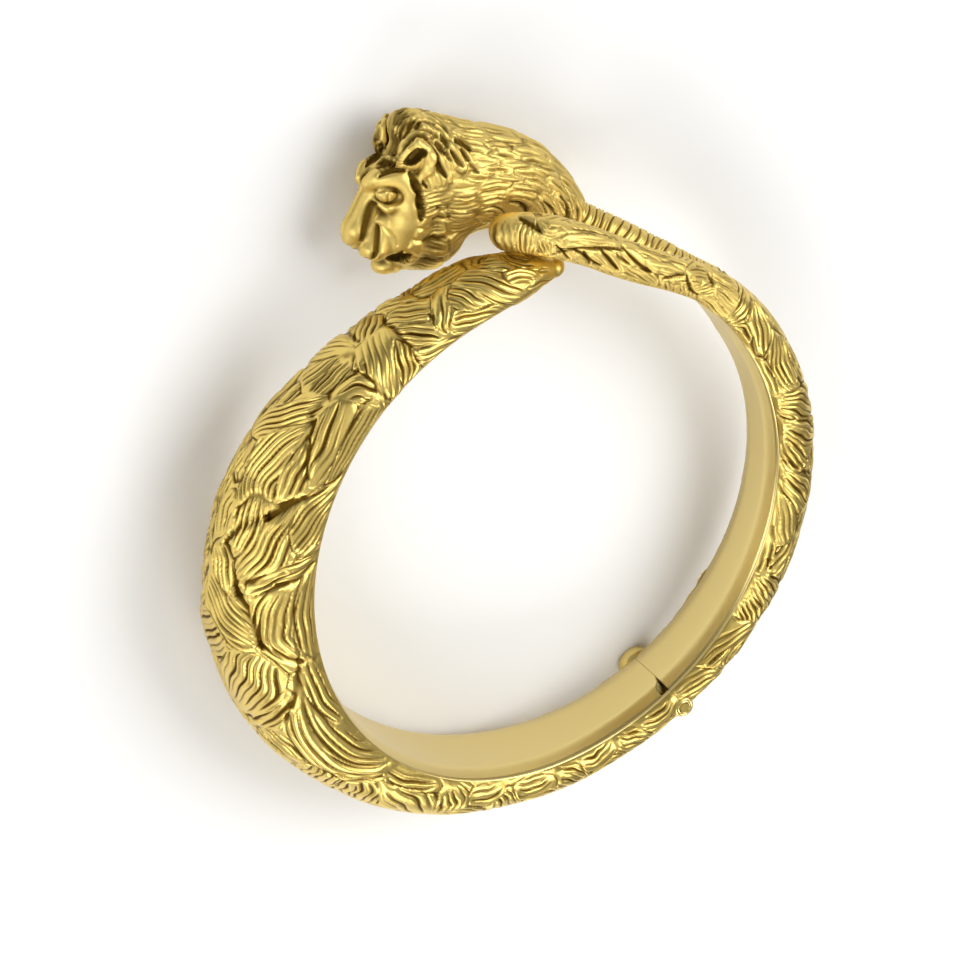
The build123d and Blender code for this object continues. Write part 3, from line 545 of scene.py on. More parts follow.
def single_cut(share, away, width):
    """A cut with tapered ends, from 1 in its middle to 0 outside."""
    full = 0.75 * width * (0.35 + 0.65 * np.sin(np.pi * np.clip(share, 0.02, 0.98)) ** 0.5)
    return np.exp(-(away / full) ** 2)


NEARBY = 1.2


def nearby(x, y, marks, margin):
    """Indices of the points within a margin of the circle round a spine."""
    middle_x, middle_y = marks[1]
    reach = max(np.hypot(a - middle_x, b - middle_y) for a, b in marks)
    return np.flatnonzero(np.hypot(x - middle_x, y - middle_y) < reach + margin)


def split_row(row, turn=1, girth=1):
    """The three places of a row's spine, and its other values."""
    return [(row[k], row[k + 1] * turn * girth) for k in (0, 2, 4)], row[6:]


def add_patches(carving, x, y, rows):
    """Cuts every patch of a table."""
    for marks, (width, cuts, lift) in rows:
        where = nearby(x, y, marks, NEARBY * width)
        carving.add_patch(where, x[where], y[where], marks, width, cuts, lift)


def cut_valleys(height, x, y, rows):
    """Lowers a surface along every valley of a table."""
    for marks, (width, depth) in rows:
        where = nearby(x, y, marks, NEARBY)
        share, _, away = spine_place(x[where], y[where], marks)
        height[where] -= depth * single_cut(share, away, width)


# The carving of the halves: widths, depths and base in millimetres, margins in widths of a row
BAND_SEED = 5
CUT_WIDTH = 0.155
CUT_DEPTH = 0.40
BORDER_WIDTH = 0.135
BORDER_DEPTH = 0.33
HAIRLINE_DEPTH = 0.05
PATCH_MARGIN = 1.1
VALLEY_MARGIN = 1.5
VALLEY_SHARE = 0.62
SWELL = 0.04
CARVING_BASE = 0.22


def carve(half, middle, places):
    """Height of a half's carving over a grid of stations and places across."""
    sections, size, table, valleys, mirror_turn = half
    high = size[1] * smooth_table(sections, middle, 2)
    wide = size[0] * smooth_table(sections, middle, 1)
    reach = np.array([d_section(w, h, places)[2] for w, h in zip(wide, high)])
    columns = len(places)
    carving = Carving(len(middle) * columns, BAND_SEED, CUT_WIDTH, CUT_DEPTH, BORDER_WIDTH,
                      BORDER_DEPTH, HAIRLINE_DEPTH)

    def window(spine, margin):
        """The grid's points near a spine, in millimetres round and across, and the spine's marks."""
        centre = spine[2]
        radius = INNER_RADIUS + 0.6 * size[1] * float(smooth_table(sections, centre, 2))
        scale = float(np.interp(centre, middle, reach))
        marks = [((spine[k] - centre) * TURN * radius, spine[k + 1] * scale) for k in (0, 2, 4)]
        low = np.searchsorted(middle, min(spine[::2]) - margin / radius / TURN)
        top = np.searchsorted(middle, max(spine[::2]) + margin / radius / TURN)
        x = ((middle[low:top] - centre) * TURN * radius)[:, None]
        x = np.broadcast_to(x, (top - low, columns))
        y = places[None, :] * reach[low:top, None]
        near = (y > min(m[1] for m in marks) - margin) & (y < max(m[1] for m in marks) + margin)
        return np.flatnonzero(near) + low * columns, x[near], y[near], marks

    for row in spread_patches(table, mirror_turn):
        width, cuts, lift = row[6:]
        where, x, y, marks = window(row[:6], PATCH_MARGIN * width)
        carving.add_patch(where, x, y, marks, width, cuts, lift)
    height = carving.height(blur(carving.panel.reshape(-1, columns), 2).ravel())
    for row in spread_patches(valleys, mirror_turn):
        width, depth = row[6:]
        where, x, y, marks = window(row[:6], VALLEY_MARGIN * width)
        if len(where):
            share, _, away = spine_place(x, y, marks)
            height[where] -= VALLEY_SHARE * depth * single_cut(share, away, width)
    swell = np.sin(middle[:, None] * 0.31 + 2.3 * places)
    swell = swell + np.sin(middle[:, None] * 0.19 - 3.1 * places + 1)
    return height.reshape(-1, columns) + SWELL * swell + CARVING_BASE


# Painted shade with patina: the colour darkens where the carving lies under the surface around it
def painted_shade_and_patina(lift, radius, strength, least):
    """How hollow a carved surface is: how far it lies under the surface around it."""
    return (blur(lift, radius) - lift) * strength + least


def seam_stop(side, up):
    """The station where a half ends at the hinge, at a height over the liner."""
    gap = SEAM_GAP + np.maximum(0, up - HINGE_DEPTH) * np.tan(SEAM_LEAN * TURN)
    return HINGE_STATION + side * gap / (INNER_RADIUS + up) / TURN


# Where the carving of a half fades out: at its edges, towards the tip, and round the knuckle
FINE_UNTIL = 0.14
FINE_SHARE = 0.66
EDGE_FADE = 0.08
LOW_LIFT = 0.5
TIP_LIFT = 0.3
TIP_FADE = 6
KNUCKLE_CLEAR = 1.0
KNUCKLE_FADE = 0.5
# Painted shade and patina of the halves' carving: blur radius in rows, strength and least
BAND_SHADE_AND_PATINA = (4, 8.0, 0.01)


def places_across(columns):
    """Places from -1 to 1, closer together on the near flank that has the finest carving."""
    near = int(FINE_SHARE * columns)
    return np.concatenate([np.linspace(-1, FINE_UNTIL, near, endpoint=False),
                           np.linspace(FINE_UNTIL, 1, columns - near)])


def band_surface(half, rows, places, first, last, side):
    """Points of a half's outside as a grid, and how hollow it is there."""
    sections, size = half[:2]
    share = np.linspace(0, 1, rows)[:, None]
    middle = (first + share * (last - first))[:, 0]
    wide = size[0] * smooth_table(sections, middle, 1)
    high = size[1] * smooth_table(sections, middle, 2)
    shift = size[0] * smooth_table(sections, middle, 3)
    outlines = [d_section(w, h, places) for w, h in zip(wide, high)]
    across = np.array([outline[0] for outline in outlines])
    up = np.array([outline[1] for outline in outlines])
    seam = seam_stop(side, up)
    if side < 0:
        stations = first + share * (seam - first)
    else:
        stations = seam + share * (last - seam)
    slope_across, slope_up = np.gradient(across, axis=1), np.gradient(up, axis=1)
    length = np.hypot(slope_across, slope_up)
    normal_across, normal_up = slope_up / length, -slope_across / length
    fade = np.clip((1 - np.abs(places)) / EDGE_FADE, 0, 1)[None, :]
    lift = carve(half, middle, places) * fade
    lift = lift * (LOW_LIFT + (1 - LOW_LIFT) * high / size[1])[:, None]
    lift *= (TIP_LIFT + (1 - TIP_LIFT) * np.clip((middle - FRONT_TIP) / TIP_FADE, 0, 1))[:, None]
    along = (stations - HINGE_STATION) * TURN * HINGE_RADIUS
    to_knuckle = np.where(across > 0, np.hypot(along, up - HINGE_DEPTH), np.inf)
    lift = lift * np.clip((to_knuckle - KNUCKLE_CLEAR) / KNUCKLE_FADE, 0, 1)
    to_seam = np.abs(stations - seam) * TURN * HINGE_RADIUS
    lift = lift * np.clip(to_seam / SEAM_FADE, 0, 1)
    points = ring_point(stations, INNER_RADIUS + up + normal_up * lift,
                        across + normal_across * lift + shift[:, None])
    return points, painted_shade_and_patina(lift, *BAND_SHADE_AND_PATINA)


# The grids' rows and columns; the front half's grid is divided into pieces at three rows
FRONT_ROWS = 1180
FRONT_COLUMNS = 172
FRONT_PARTS = [0, 420, 800, FRONT_ROWS - 1]
BACK_ROWS = 560
BACK_COLUMNS = 128
TIP_LINE = 20
TIP_RINGS = 9
TIP_LENGTH = 1.6


def grid_normals(points):
    """Normals of a grid of points, outwards."""
    normal = np.cross(np.gradient(points, axis=1), np.gradient(points, axis=0))
    return normal / np.linalg.norm(normal, axis=-1)[..., None]


def rounded_tip(points):
    """Rings that close the front half's tip, with the faces that join them to its first row."""
    columns = points.shape[1]
    line = points[0, -1] + (points[0, 0] - points[0, -1]) * np.linspace(0, 1, TIP_LINE + 2)[1:-1, None]
    loop = np.concatenate([points[0], line])
    middle = loop.mean(axis=0)
    ahead = ring_point(FRONT_TIP - 90, 1.0, 0.0)
    leans = np.linspace(0, np.pi / 2, TIP_RINGS + 1)[1:]
    rings = [middle + (loop - middle) * np.cos(a) + ahead * TIP_LENGTH * np.sin(a) for a in leans]
    extra = np.concatenate([line, *rings])
    first = points.shape[0] * columns
    index = np.arange(len(loop) * TIP_RINGS).reshape(TIP_RINGS, -1) + first + TIP_LINE
    index = np.concatenate([[[*range(columns), *range(first, first + TIP_LINE)]], index])
    after = np.roll(index, -1, axis=1)
    faces = np.stack([index[:-1], index[1:], after[1:], after[:-1]], -1).reshape(-1, 4)
    return extra, faces


front_points, front_hollow = band_surface(
    FRONT_HALF, FRONT_ROWS, places_across(FRONT_COLUMNS), FRONT_TIP, HINGE_STATION, -1)
front_normals = grid_normals(front_points)
for number, (start, stop) in enumerate(zip(FRONT_PARTS[:-1], FRONT_PARTS[1:])):
    part = front_points[start:stop + 1]
    points, faces = part.reshape(-1, 3), grid_faces(part.shape[0], part.shape[1])
    hollow = front_hollow[start:stop + 1].ravel()
    normals = np.zeros(part.shape)
    if start:
        normals[0] = front_normals[start]
    if stop < FRONT_ROWS - 1:
        normals[-1] = front_normals[stop]
    normals = normals.reshape(-1, 3)
    if not start:
        extra, tip_faces = rounded_tip(part)
        points = np.concatenate([points, extra])
        faces = np.concatenate([faces, tip_faces])
        hollow = np.concatenate([hollow, np.zeros(len(extra))])
        normals = np.concatenate([normals, np.zeros(extra.shape)])
    make_piece(f"front_carving_{number + 1}", points, faces, hollow, "front_half",
               CARVED, ("front_band",), normals)
back_points, back_hollow = band_surface(
    BACK_HALF, BACK_ROWS, np.linspace(-1, 1, BACK_COLUMNS), HINGE_STATION, SPLIT, 1)
make_piece("back_carving", back_points.reshape(-1, 3), grid_faces(BACK_ROWS, BACK_COLUMNS),
           back_hollow.ravel(), "head_half", CARVED, ("back_band",))


# The hinge: radii of its barrel, pin and round tab, and how far its ends stand out
KNUCKLE_SIDES = 64
BARREL = 1.7
PIN = 0.55
TAB = 2.05
NEAR_PROUD = 0.1
FAR_PROUD = 1.8
SEAM_STEPS = 7
# Painted shade on the flat ends at the hinge and on the caps of the liner
INSIDE_SHADE = 0.4


def round_piece(name, profile, body):
    """A turned piece on the hinge axis, from radii and places along the axis."""
    turns = np.linspace(0, 2 * np.pi, KNUCKLE_SIDES, endpoint=False)
    middle = ring_point(HINGE_STATION, HINGE_RADIUS, 0.0)
    rings = [middle + np.stack([r * np.cos(turns), r * np.sin(turns), np.full(len(turns), z)], -1)
             for r, z in profile]
    hollow = np.zeros((len(profile), KNUCKLE_SIDES))
    make_piece(name, np.concatenate(rings), grid_faces(*hollow.shape, True), hollow.ravel(), body,
               KNUCKLE)


def seam_wall(name, edge, body, flip):
    """The flat end of a half at the hinge, between the two sides of its outline, darkened as painted shade."""
    count = len(edge) // 2
    near, far = edge[:count], edge[::-1][:count]
    share = np.linspace(0, 1, SEAM_STEPS)[None, :, None]
    wall = near[:, None] + (far - near)[:, None] * share
    faces = grid_faces(count, SEAM_STEPS)
    make_piece(name, wall.reshape(-1, 3), faces[:, ::-1] if flip else faces,
               np.full(count * SEAM_STEPS, INSIDE_SHADE), body, CARVED)


# The knuckles' profiles: radius, and place along the pin
half_width = BACK_SIZE[0] * float(smooth_table(BACK_SECTIONS, HINGE_STATION, 1)) / 2
near_end, far_end = half_width + NEAR_PROUD, -half_width - FAR_PROUD
round_piece("front_knuckle", [(0.01, 1.6), (BARREL - 0.1, 1.6), (BARREL, 1.5), (BARREL, -1.5),
                              (BARREL - 0.1, -1.6), (0.01, -1.6)], "front_half")
round_piece("near_knuckle", [
    (PIN + 0.06, near_end - 0.4), (PIN + 0.06, near_end - 0.05), (PIN + 0.10, near_end),
    (0.76, near_end), (0.80, near_end - 0.10), (0.88, near_end - 0.10), (0.92, near_end),
    (1.06, near_end - 0.02), (1.16, near_end - 0.15), (1.30, near_end - 0.6),
    (BARREL, near_end - 1.1), (BARREL, 1.85), (BARREL - 0.1, 1.75), (0.01, 1.75)], "head_half")
round_piece("far_knuckle", [
    (0.01, -1.75), (BARREL - 0.1, -1.75), (BARREL, -1.85), (BARREL, far_end + 1.4),
    (TAB - 0.1, far_end + 1.35), (TAB, far_end + 1.25), (TAB, far_end + 0.35),
    (TAB - 0.1, far_end + 0.1), (TAB - 0.35, far_end), (0.80, far_end),
    (0.76, far_end + 0.08), (0.66, far_end + 0.08), (PIN + 0.06, far_end),
    (PIN + 0.06, far_end + 0.4)], "head_half")
seam_wall("front_seam", front_points[-1], "front_half", False)
seam_wall("back_seam", back_points[0], "head_half", True)

# The liner: distance from an edge, and rise over it. The near side has a wire, a groove and the
# bevel; the far side only falls to its edge. The notch lies at the hinge, in the front half.
LINER_NEAR = [(0, 0), (0.05, 0.09), (0.12, 0.13), (0.20, 0.12), (0.27, 0.05), (0.31, -0.08),
              (0.37, -0.10), (0.43, 0.0), (0.7, 0.10), (1.1, 0.27), (1.5, 0.43), (1.8, 0.53),
              (1.95, 0.565), (2.15, 0.585), (2.6, 0.59)]
LINER_FAR = [(1.6, 0.59), (1.1, 0.50), (0.6, 0.30), (0.3, 0.14), (0.15, 0.08), (0, 0)]
LINER_MIDDLE = 7
LINER_SKIP = 3
LINER_FINE = 45
LINER_FADE = 6.0
GROOVE_BELOW = -0.01
NOTCH = 1.1
NOTCH_START = 0.5
NOTCH_END = 2.3
NOTCH_SLOPE = 1.5
NOTCH_DEPTH = 0.9


def liner(name, points, body, end):
    """The smooth inside face between the two edges of a half, with a bevel on its near side."""
    count = len(points)
    fine = slice(count - LINER_FINE, count) if end else slice(0, LINER_FINE)
    every = np.arange(count)
    rows = np.unique(np.concatenate([every[::LINER_SKIP], every[fine], [count - 1]]))
    near, far = points[rows, 0], points[rows, -1]
    width = np.linalg.norm(far - near, axis=1)[:, None]
    first, last = np.array(LINER_NEAR), np.array(LINER_FAR)
    stop = width - last[0, 0]
    middle = first[-1, 0] + (stop - first[-1, 0]) * np.linspace(0, 1, LINER_MIDDLE + 2)[1:-1]
    place = np.concatenate([np.broadcast_to(first[:, 0], (len(rows), len(first))), middle,
                            width - last[:, 0]], axis=1)
    rise = np.concatenate([first[:, 1], np.full(LINER_MIDDLE, LINER_NEAR[-1][1]), last[:, 1]])
    seam, open_end = points[-1 if end else 0, 0], points[0 if end else -1, 0]
    away = np.linalg.norm(near - seam, axis=1)[:, None]
    rise = rise * np.clip(np.linalg.norm(near - open_end, axis=1)[:, None] / LINER_FADE, 0, 1)
    # The groove and the notch are painted dark: painted shade in their hollows
    hollow = np.where(rise < GROOVE_BELOW, 1.0, 0.0)
    if end:
        notch_reach = NOTCH * np.clip((NOTCH_END - place) / NOTCH_SLOPE, 0, 1)
        notch = (place > NOTCH_START) & (away < notch_reach)
        rise = rise - NOTCH_DEPTH * notch
        hollow = np.maximum(hollow, notch)
    flat = near[:, None] + (far - near)[:, None] * (place / width)[..., None]
    inside = flat.copy()
    radius = np.linalg.norm(inside[..., :2], axis=-1)
    inside[..., :2] *= (1 - rise / radius)[..., None]
    faces = grid_faces(*place.shape)[:, ::-1]
    cap_faces = grid_faces(2, place.shape[1])
    cap = np.concatenate([flat[-1:], inside[-1:]] if end else [inside[:1], flat[:1]])
    make_piece(name, np.concatenate([inside.reshape(-1, 3), cap.reshape(-1, 3)]),
               np.concatenate([faces, cap_faces + place.size]),
               np.concatenate([hollow.ravel(), np.full(2 * place.shape[1], INSIDE_SHADE)]),
               body, POLISHED)


liner("front_liner", front_points, "front_half", True)
liner("back_liner", back_points, "head_half", False)

# Centres of the strands: station, rise and place across in strand widths, width, height
NEAR_STRAND = [
    (328, 0.46, 0.52, 0.95, 0.90), (337, 0.40, 0.66, 0.93, 0.88), (346, 0.43, 0.72, 0.95, 0.92),
    (353, 0.60, 0.68, 0.98, 0.96), (358, 0.83, 0.66, 1.02, 0.97), (363, 1.08, 0.63, 1.06, 1.00),
    (367.5, 1.30, 0.49, 1.08, 1.01), (371, 1.41, 0.29, 1.04, 0.98),
    (372.8, 1.40, 0.05, 0.94, 0.92), (372.6, 1.34, -0.15, 0.80, 0.80),
]
FAR_STRAND = [
    (328, 0.43, -0.56, 0.93, 0.86), (334, 0.42, -0.74, 0.90, 0.84), (340, 0.44, -1.00, 0.90, 0.86),
    (346, 0.52, -1.28, 0.92, 0.90), (350.5, 0.62, -1.48, 0.94, 0.94),
    (353.5, 0.72, -1.60, 0.94, 0.94),
]
# Patches of the near strand: a spine through three places given by reach in millimetres and
# the angle round the strand (0 is its near side, 90 its inner side), then width, cuts, lift
STRAND_PATCHES = [
    (-1, -30, 2, -32, 4, -38, 1.6, 4, .5),
    (-1, 5, 1.8, 0, 3.6, -8, 1.6, 4, .4),
    (-1, 45, 2.4, 38, 5, 30, 1.6, 4, .6),
    (-1, 78, 2.4, 74, 5, 68, 1.5, 4, .4),
    (3.4, -30, 5, -8, 6.8, 22, 1.8, 4, .7),
    (4.4, -58, 6, -45, 8.2, -30, 1.6, 3, .4),
    (0, -68, 2.4, -66, 5, -74, 1.5, 3, .5),
    (5, 66, 6.2, 48, 6.9, 24, 1.5, 3, .5),
    (7, 68, 8, 46, 8.8, 18, 1.8, 4, .4),
    (8.8, 68, 9.8, 46, 10.8, 20, 1.6, 3, .6),
    (7.6, -2, 8.2, 0, 9.6, 8, 1.4, 3, .3),
    (8.4, -24, 11, -30, 14, -24, 1.9, 2, .9),
    (11.4, 40, 13.6, 24, 16, 2, 1.8, 4, .6),
    (11.6, 72, 14, 58, 16.4, 38, 1.7, 4, .4),
    (13.6, -4, 15.6, -26, 17.6, -50, 1.6, 3, .5),
    (10, -62, 13, -62, 16, -66, 1.5, 3, .5),
    (16.4, 28, 18.4, 8, 20.2, -16, 1.7, 3, .6),
    (17, 70, 19, 56, 21, 40, 1.8, 4, .4),
    (19, 42, 20.8, 26, 22.8, 8, 1.5, 3, .5),
    (17, -56, 20.4, -42, 24, -18, 1.9, 4, .6),
    (17, -84, 20.5, -72, 24.4, -56, 1.6, 4, .4),
    (21, -8, 22.6, -2, 24.2, 14, 1.4, 3, .4),
    (22.8, 52, 24, 28, 25, 4, 1.4, 3, .7),
    (25.2, 40, 26, 18, 26.4, -6, 1.6, 4, .4),
    (27.4, 60, 27.7, 0, 27.4, -60, 1.6, 4, .5),
    (29.2, 60, 29.5, 0, 29.2, -60, 1.6, 4, .5),
    (25.0, -40, 26.2, -30, 26.8, -60, 1.4, 3, .5),
]
# Valleys of the near strand: the same spine, then width and depth in millimetres
STRAND_VALLEYS = [
    (4.2, -22, 4.4, -35, 4.8, -48, .6, .40),
    (5.5, 30, 7, 20, 8.3, -22, .35, .34),
    (8.7, -22, 10, -8, 11.2, 10, .35, .34),
    (13.2, 0, 15.4, -22, 17.3, -50, .40, .40),
    (16, -5, 17, -12, 17.9, -20, .35, .34),
    (17, 25, 18.5, 5, 20, -15, .40, .40),
    (19, 40, 21, 25, 22.9, 8, .40, .36),
    (20.3, 45, 21.2, 25, 22, 5, .30, .30),
    (17.5, -40, 21, -15, 24.3, 15, .35, .34),
    (23, 6, 24, 26, 25, 50, .35, .36),
    (23, 46, 24, 26, 25, 6, .35, .36),
    (26.8, -30, 27.4, -50, 28.2, -70, .6, .40),
]
# Grooves across the neck, by reach in millimetres
NECK_GROOVES = [1.0, 2.0, 2.9, 3.8, 4.8, 5.6, 6.6, 7.5, 8.2, 8.9, 10.0, 11.2, 12.2, 13.3, 14.3,
                15.2, 16.2, 17.2]
# CUTS are width and depth of the cuts and of the borders; END is the worst fit and its fade
STRAND_GIRTH = 2.1
STRAND_SEED = 7
STRAND_CUTS = (0.12, 0.26, 0.11, 0.22)
STRAND_PANEL = 0.3
STRAND_END = (1.7, 0.4)
STRAND_BASE = 0.12
STRAND_FADE = 1.2
# Painted shade and patina of the strands: blur radius in rows, strength and least
STRAND_SHADE_AND_PATINA = (5, 6.0, 0.02)
RIB_DEPTH = 0.16
RIB_PITCH = 6.5
RIB_LEAN = 1.2
NECK_BASE = 0.08
NECK_BOW = 0.45
NECK_WAVE = 0.1
NECK_CUT_DEPTH = 0.30
NECK_CUT_WIDTH = 0.14
NECK_STEP_DEPTH = 0.10
NECK_STEP_PLACE = 0.42
NECK_STEP_WIDTH = 0.10
BLEND_SHARE = 0.35
BLEND_FALL = 1.5
NEAR_ROWS = 360
FAR_ROWS = 220
WALL_STEPS = 22
SHORE_STEPS = 18
END_RINGS = 14
END_ROUNDNESS = 0.95


def strand_path(table, count, side):
    """Centres along a strand, its width and height there as shares, and the reach so far."""
    rows = np.array([(SPLIT, SPLIT_RISE, 0.5 * side, 1, 1), *table], float)
    rise, across = rows[:, 1] * STRAND_WIDTH, rows[:, 2] * STRAND_WIDTH
    places = ring_point(rows[:, 0], INNER_RADIUS + rise, across)
    values = np.concatenate([places, rows[:, 3:5]], axis=1)
    knots = np.concatenate([[0], np.cumsum(np.linalg.norm(np.diff(places, axis=0), axis=1))])
    at = np.linspace(0, knots[-1], count)
    i = np.clip(np.searchsorted(knots, at) - 1, 0, len(knots) - 2)
    width = (knots[i + 1] - knots[i])[:, None]
    share = ((at - knots[i]) / width[:, 0])[:, None]
    found = hermite(values, np.gradient(values, knots, axis=0), width, i, share)
    return found[:, :3], found[:, 3], found[:, 4], at


def near_relief(reach, angle):
    """Height of the engraving along the near strand; angle 0 is its near side."""
    x, y = (grid.ravel() for grid in np.meshgrid(reach, angle * STRAND_GIRTH, indexing="ij"))
    carving = Carving(len(x), STRAND_SEED, *STRAND_CUTS)
    add_patches(carving, x, y, [split_row(row, TURN, STRAND_GIRTH) for row in STRAND_PATCHES])
    weight = carving.weight(*STRAND_END)
    height = carving.soft_height(STRAND_PANEL) * weight
    height -= RIB_DEPTH * (1 - weight) * (0.5 + 0.5 * np.cos(RIB_PITCH * (x - RIB_LEAN * y))) ** 2
    cut_valleys(height, x, y, [split_row(row, TURN, STRAND_GIRTH) for row in STRAND_VALLEYS])
    return height.reshape(len(reach), len(angle)) + STRAND_BASE


def far_relief(reach, angle):
    """Grooves across the neck."""
    height = np.full((len(reach), len(angle)), NECK_BASE)
    for number, place in enumerate(NECK_GROOVES):
        bow = reach[:, None] - place - NECK_BOW * np.sin(angle + 0.9)
        away = np.abs(bow + NECK_WAVE * np.sin(3 * angle + number))
        height -= NECK_CUT_DEPTH * np.exp(-(away / NECK_CUT_WIDTH) ** 1.6)
        height -= NECK_STEP_DEPTH * np.exp(-((away - NECK_STEP_PLACE) / NECK_STEP_WIDTH) ** 2)
    return height


def make_strand(table, first, rows, side, relief):
    """Rings of a strand that grows out of a first ring, how hollow they are, and its direction."""
    centres, wide, high, reach = strand_path(table, rows, side)
    tangent = np.gradient(centres, axis=0)
    tangent /= np.linalg.norm(tangent, axis=1)[:, None]
    across = np.array([0.0, 0.0, 1.0])
    rings = []
    for k, centre in enumerate(centres):
        across = across - tangent[k] * (across @ tangent[k])
        across /= np.linalg.norm(across)
        inward = np.cross(across, tangent[k])
        if k == 0:
            local = np.stack([(first - centre) @ across, (first - centre) @ inward], -1)
            angle = np.unwrap(np.arctan2(local[:, 1] / STRAND_HEIGHT, local[:, 0] / STRAND_WIDTH))
            angle -= 2 * np.pi * np.round(angle.mean() / (2 * np.pi))
            lifts = relief(reach, angle) * np.clip(reach / STRAND_FADE, 0, 1)[:, None]
        ellipse = np.stack([np.cos(angle) * STRAND_WIDTH / 2, np.sin(angle) * STRAND_HEIGHT / 2], -1)
        blend = np.clip(1 - k / (BLEND_SHARE * rows), 0, 1) ** BLEND_FALL
        shape = (ellipse * (1 - blend) + local * blend) * np.array([wide[k], high[k]])
        size = np.linalg.norm(shape, axis=1)
        shape = shape * ((size + lifts[k]) / size)[:, None]
        rings.append(centre + shape[:, :1] * across + shape[:, 1:] * inward)
    return np.array(rings), painted_shade_and_patina(lifts, *STRAND_SHADE_AND_PATINA), tangent


def close_end(rings, hollow, tangent, steps):
    """Adds a rounded end to a strand's rings."""
    end = rings[-1]
    middle = end.mean(axis=0)
    reach = np.linalg.norm(end - middle, axis=1).mean()
    lean = np.linspace(0, np.pi / 2, steps + 1)[1:]
    more = [middle + (end - middle) * np.cos(a) + tangent[-1] * reach * END_ROUNDNESS * np.sin(a)
            for a in lean]
    return np.concatenate([rings, more]), np.concatenate([hollow, np.tile(hollow[-1], (steps, 1))])


def strand_piece(name, rings, hollow):
    """A strand's rings as a piece."""
    make_piece(name, rings.reshape(-1, 3), grid_faces(rings.shape[0], rings.shape[1], True),
               hollow.ravel(), "head_half", FINE)


half = BACK_COLUMNS // 2
last = back_points[-1]
crown = (last[half - 1] + last[half]) / 2
bottom = (last[0] + last[-1]) / 2
wall = crown + (bottom - crown) * np.linspace(0, 1, WALL_STEPS)[:, None]
shore = np.linspace(0, 1, SHORE_STEPS)[1:-1, None]
near_first = np.concatenate([last[:half], wall, bottom + (last[0] - bottom) * shore])
far_first = np.concatenate([last[half:], last[-1] + (bottom - last[-1]) * shore, wall[::-1]])
near_rings, near_hollow, near_tangent = make_strand(
    NEAR_STRAND, near_first, NEAR_ROWS, 1, near_relief)
strand_piece("near_strand", *close_end(near_rings, near_hollow, near_tangent, END_RINGS))
far_rings, far_hollow, _ = make_strand(FAR_STRAND, far_first, FAR_ROWS, -1, far_relief)
strand_piece("far_strand", far_rings, far_hollow)

# The lion's head is a field of soft masses, in millimetres forward, sideways and up of its origin
HEAD_ORIGIN = np.array([8.0, -37.0, -7.1])
HEAD_MASSES = [
    # forward, side, up, half length, half width, half height, tilt, blend
    (2.2, 0.0, 0.5, 8.2, 4.7, 5.7, -16, 1.0),
    (-4.6, 0.0, -0.7, 6.6, 4.1, 4.5, -30, 2.0),
    (-8.6, 0.0, -3.4, 4.1, 3.4, 3.6, -34, 1.6),
    (-11.3, 0.0, -5.2, 2.4, 2.6, 2.6, 0, 1.2),
    (6.4, 0.0, 3.1, 4.0, 4.1, 4.4, 0, 1.5),
    (4.6, 0.0, -5.0, 3.7, 3.4, 4.6, -20, 1.5),
    (8.5, 0.0, 6.5, 2.6, 2.8, 1.7, -18, 1.4),
    (8.6, 0.0, 0.4, 3.2, 3.5, 4.4, -10, 1.2),
    (10.8, 0.0, 1.0, 2.2, 2.4, 2.3, -10, 1.2),
    (9.2, 1.2, -4.6, 2.8, 1.7, 2.6, 0, 1.2),
    (7.4, 0.0, -7.2, 2.6, 2.0, 1.9, 0, 1.2),
    (9.6, 0.0, -8.6, 1.5, 1.6, 1.1, 15, 0.6),
    (8.6, 2.5, -2.2, 2.2, 1.7, 3.2, -10, 1.2),
    (8.2, 1.6, -5.6, 2.5, 1.9, 2.2, 0, 1.2),
    (9.4, 3.0, 5.1, 1.8, 1.2, 2.0, -15, 0.4),
]
HEAD_BARS = [
    # from forward, side, up, to forward, side, up, first radius, last radius, blend
    (12.1, 0.65, 0.3, 13.70, 0.65, -4.0, 1.10, 1.20, 0.8),
    (13.80, 0.4, -4.4, 13.9, 0.3, -5.0, 1.20, 1.15, 0.7),
    (11.4, 1.3, -3.2, 11.9, 1.3, -6.0, 0.95, 1.65, 0.6),
    (13.3, 0.9, 1.2, 12.6, 1.5, 1.9, 0.70, 0.85, 0.8),
    (12.6, 1.5, 1.9, 11.6, 2.1, 2.2, 0.85, 0.95, 0.8),
    (11.6, 2.1, 2.2, 10.6, 2.6, 2.2, 0.95, 0.95, 0.8),
    (10.6, 2.6, 2.2, 9.8, 3.0, 1.4, 0.95, 0.90, 0.8),
    (9.8, 3.0, 1.4, 9.4, 3.1, -0.8, 0.90, 0.95, 0.9),
    (12.7, 1.9, -0.6, 11.6, 2.6, -1.15, 0.35, 0.42, 0.5),
    (11.6, 2.6, -1.15, 10.3, 2.9, -0.5, 0.42, 0.40, 0.5),
    (11.0, 2.8, 3.6, 11.1, 3.5, 4.6, 0.40, 0.36, 0.3),
    (11.1, 3.5, 4.6, 10.7, 3.8, 5.9, 0.36, 0.36, 0.2),
    (10.7, 3.8, 5.9, 9.9, 4.0, 6.6, 0.36, 0.38, 0.2),
    (9.9, 4.0, 6.6, 8.9, 4.2, 5.8, 0.38, 0.55, 0.2),
    (8.9, 4.2, 5.8, 8.2, 4.2, 4.8, 0.55, 0.75, 0.25),
    (8.2, 4.2, 4.8, 8.3, 4.1, 3.6, 0.75, 0.62, 0.3),
    (8.3, 4.1, 3.6, 9.0, 3.7, 2.4, 0.62, 0.40, 0.4),
]
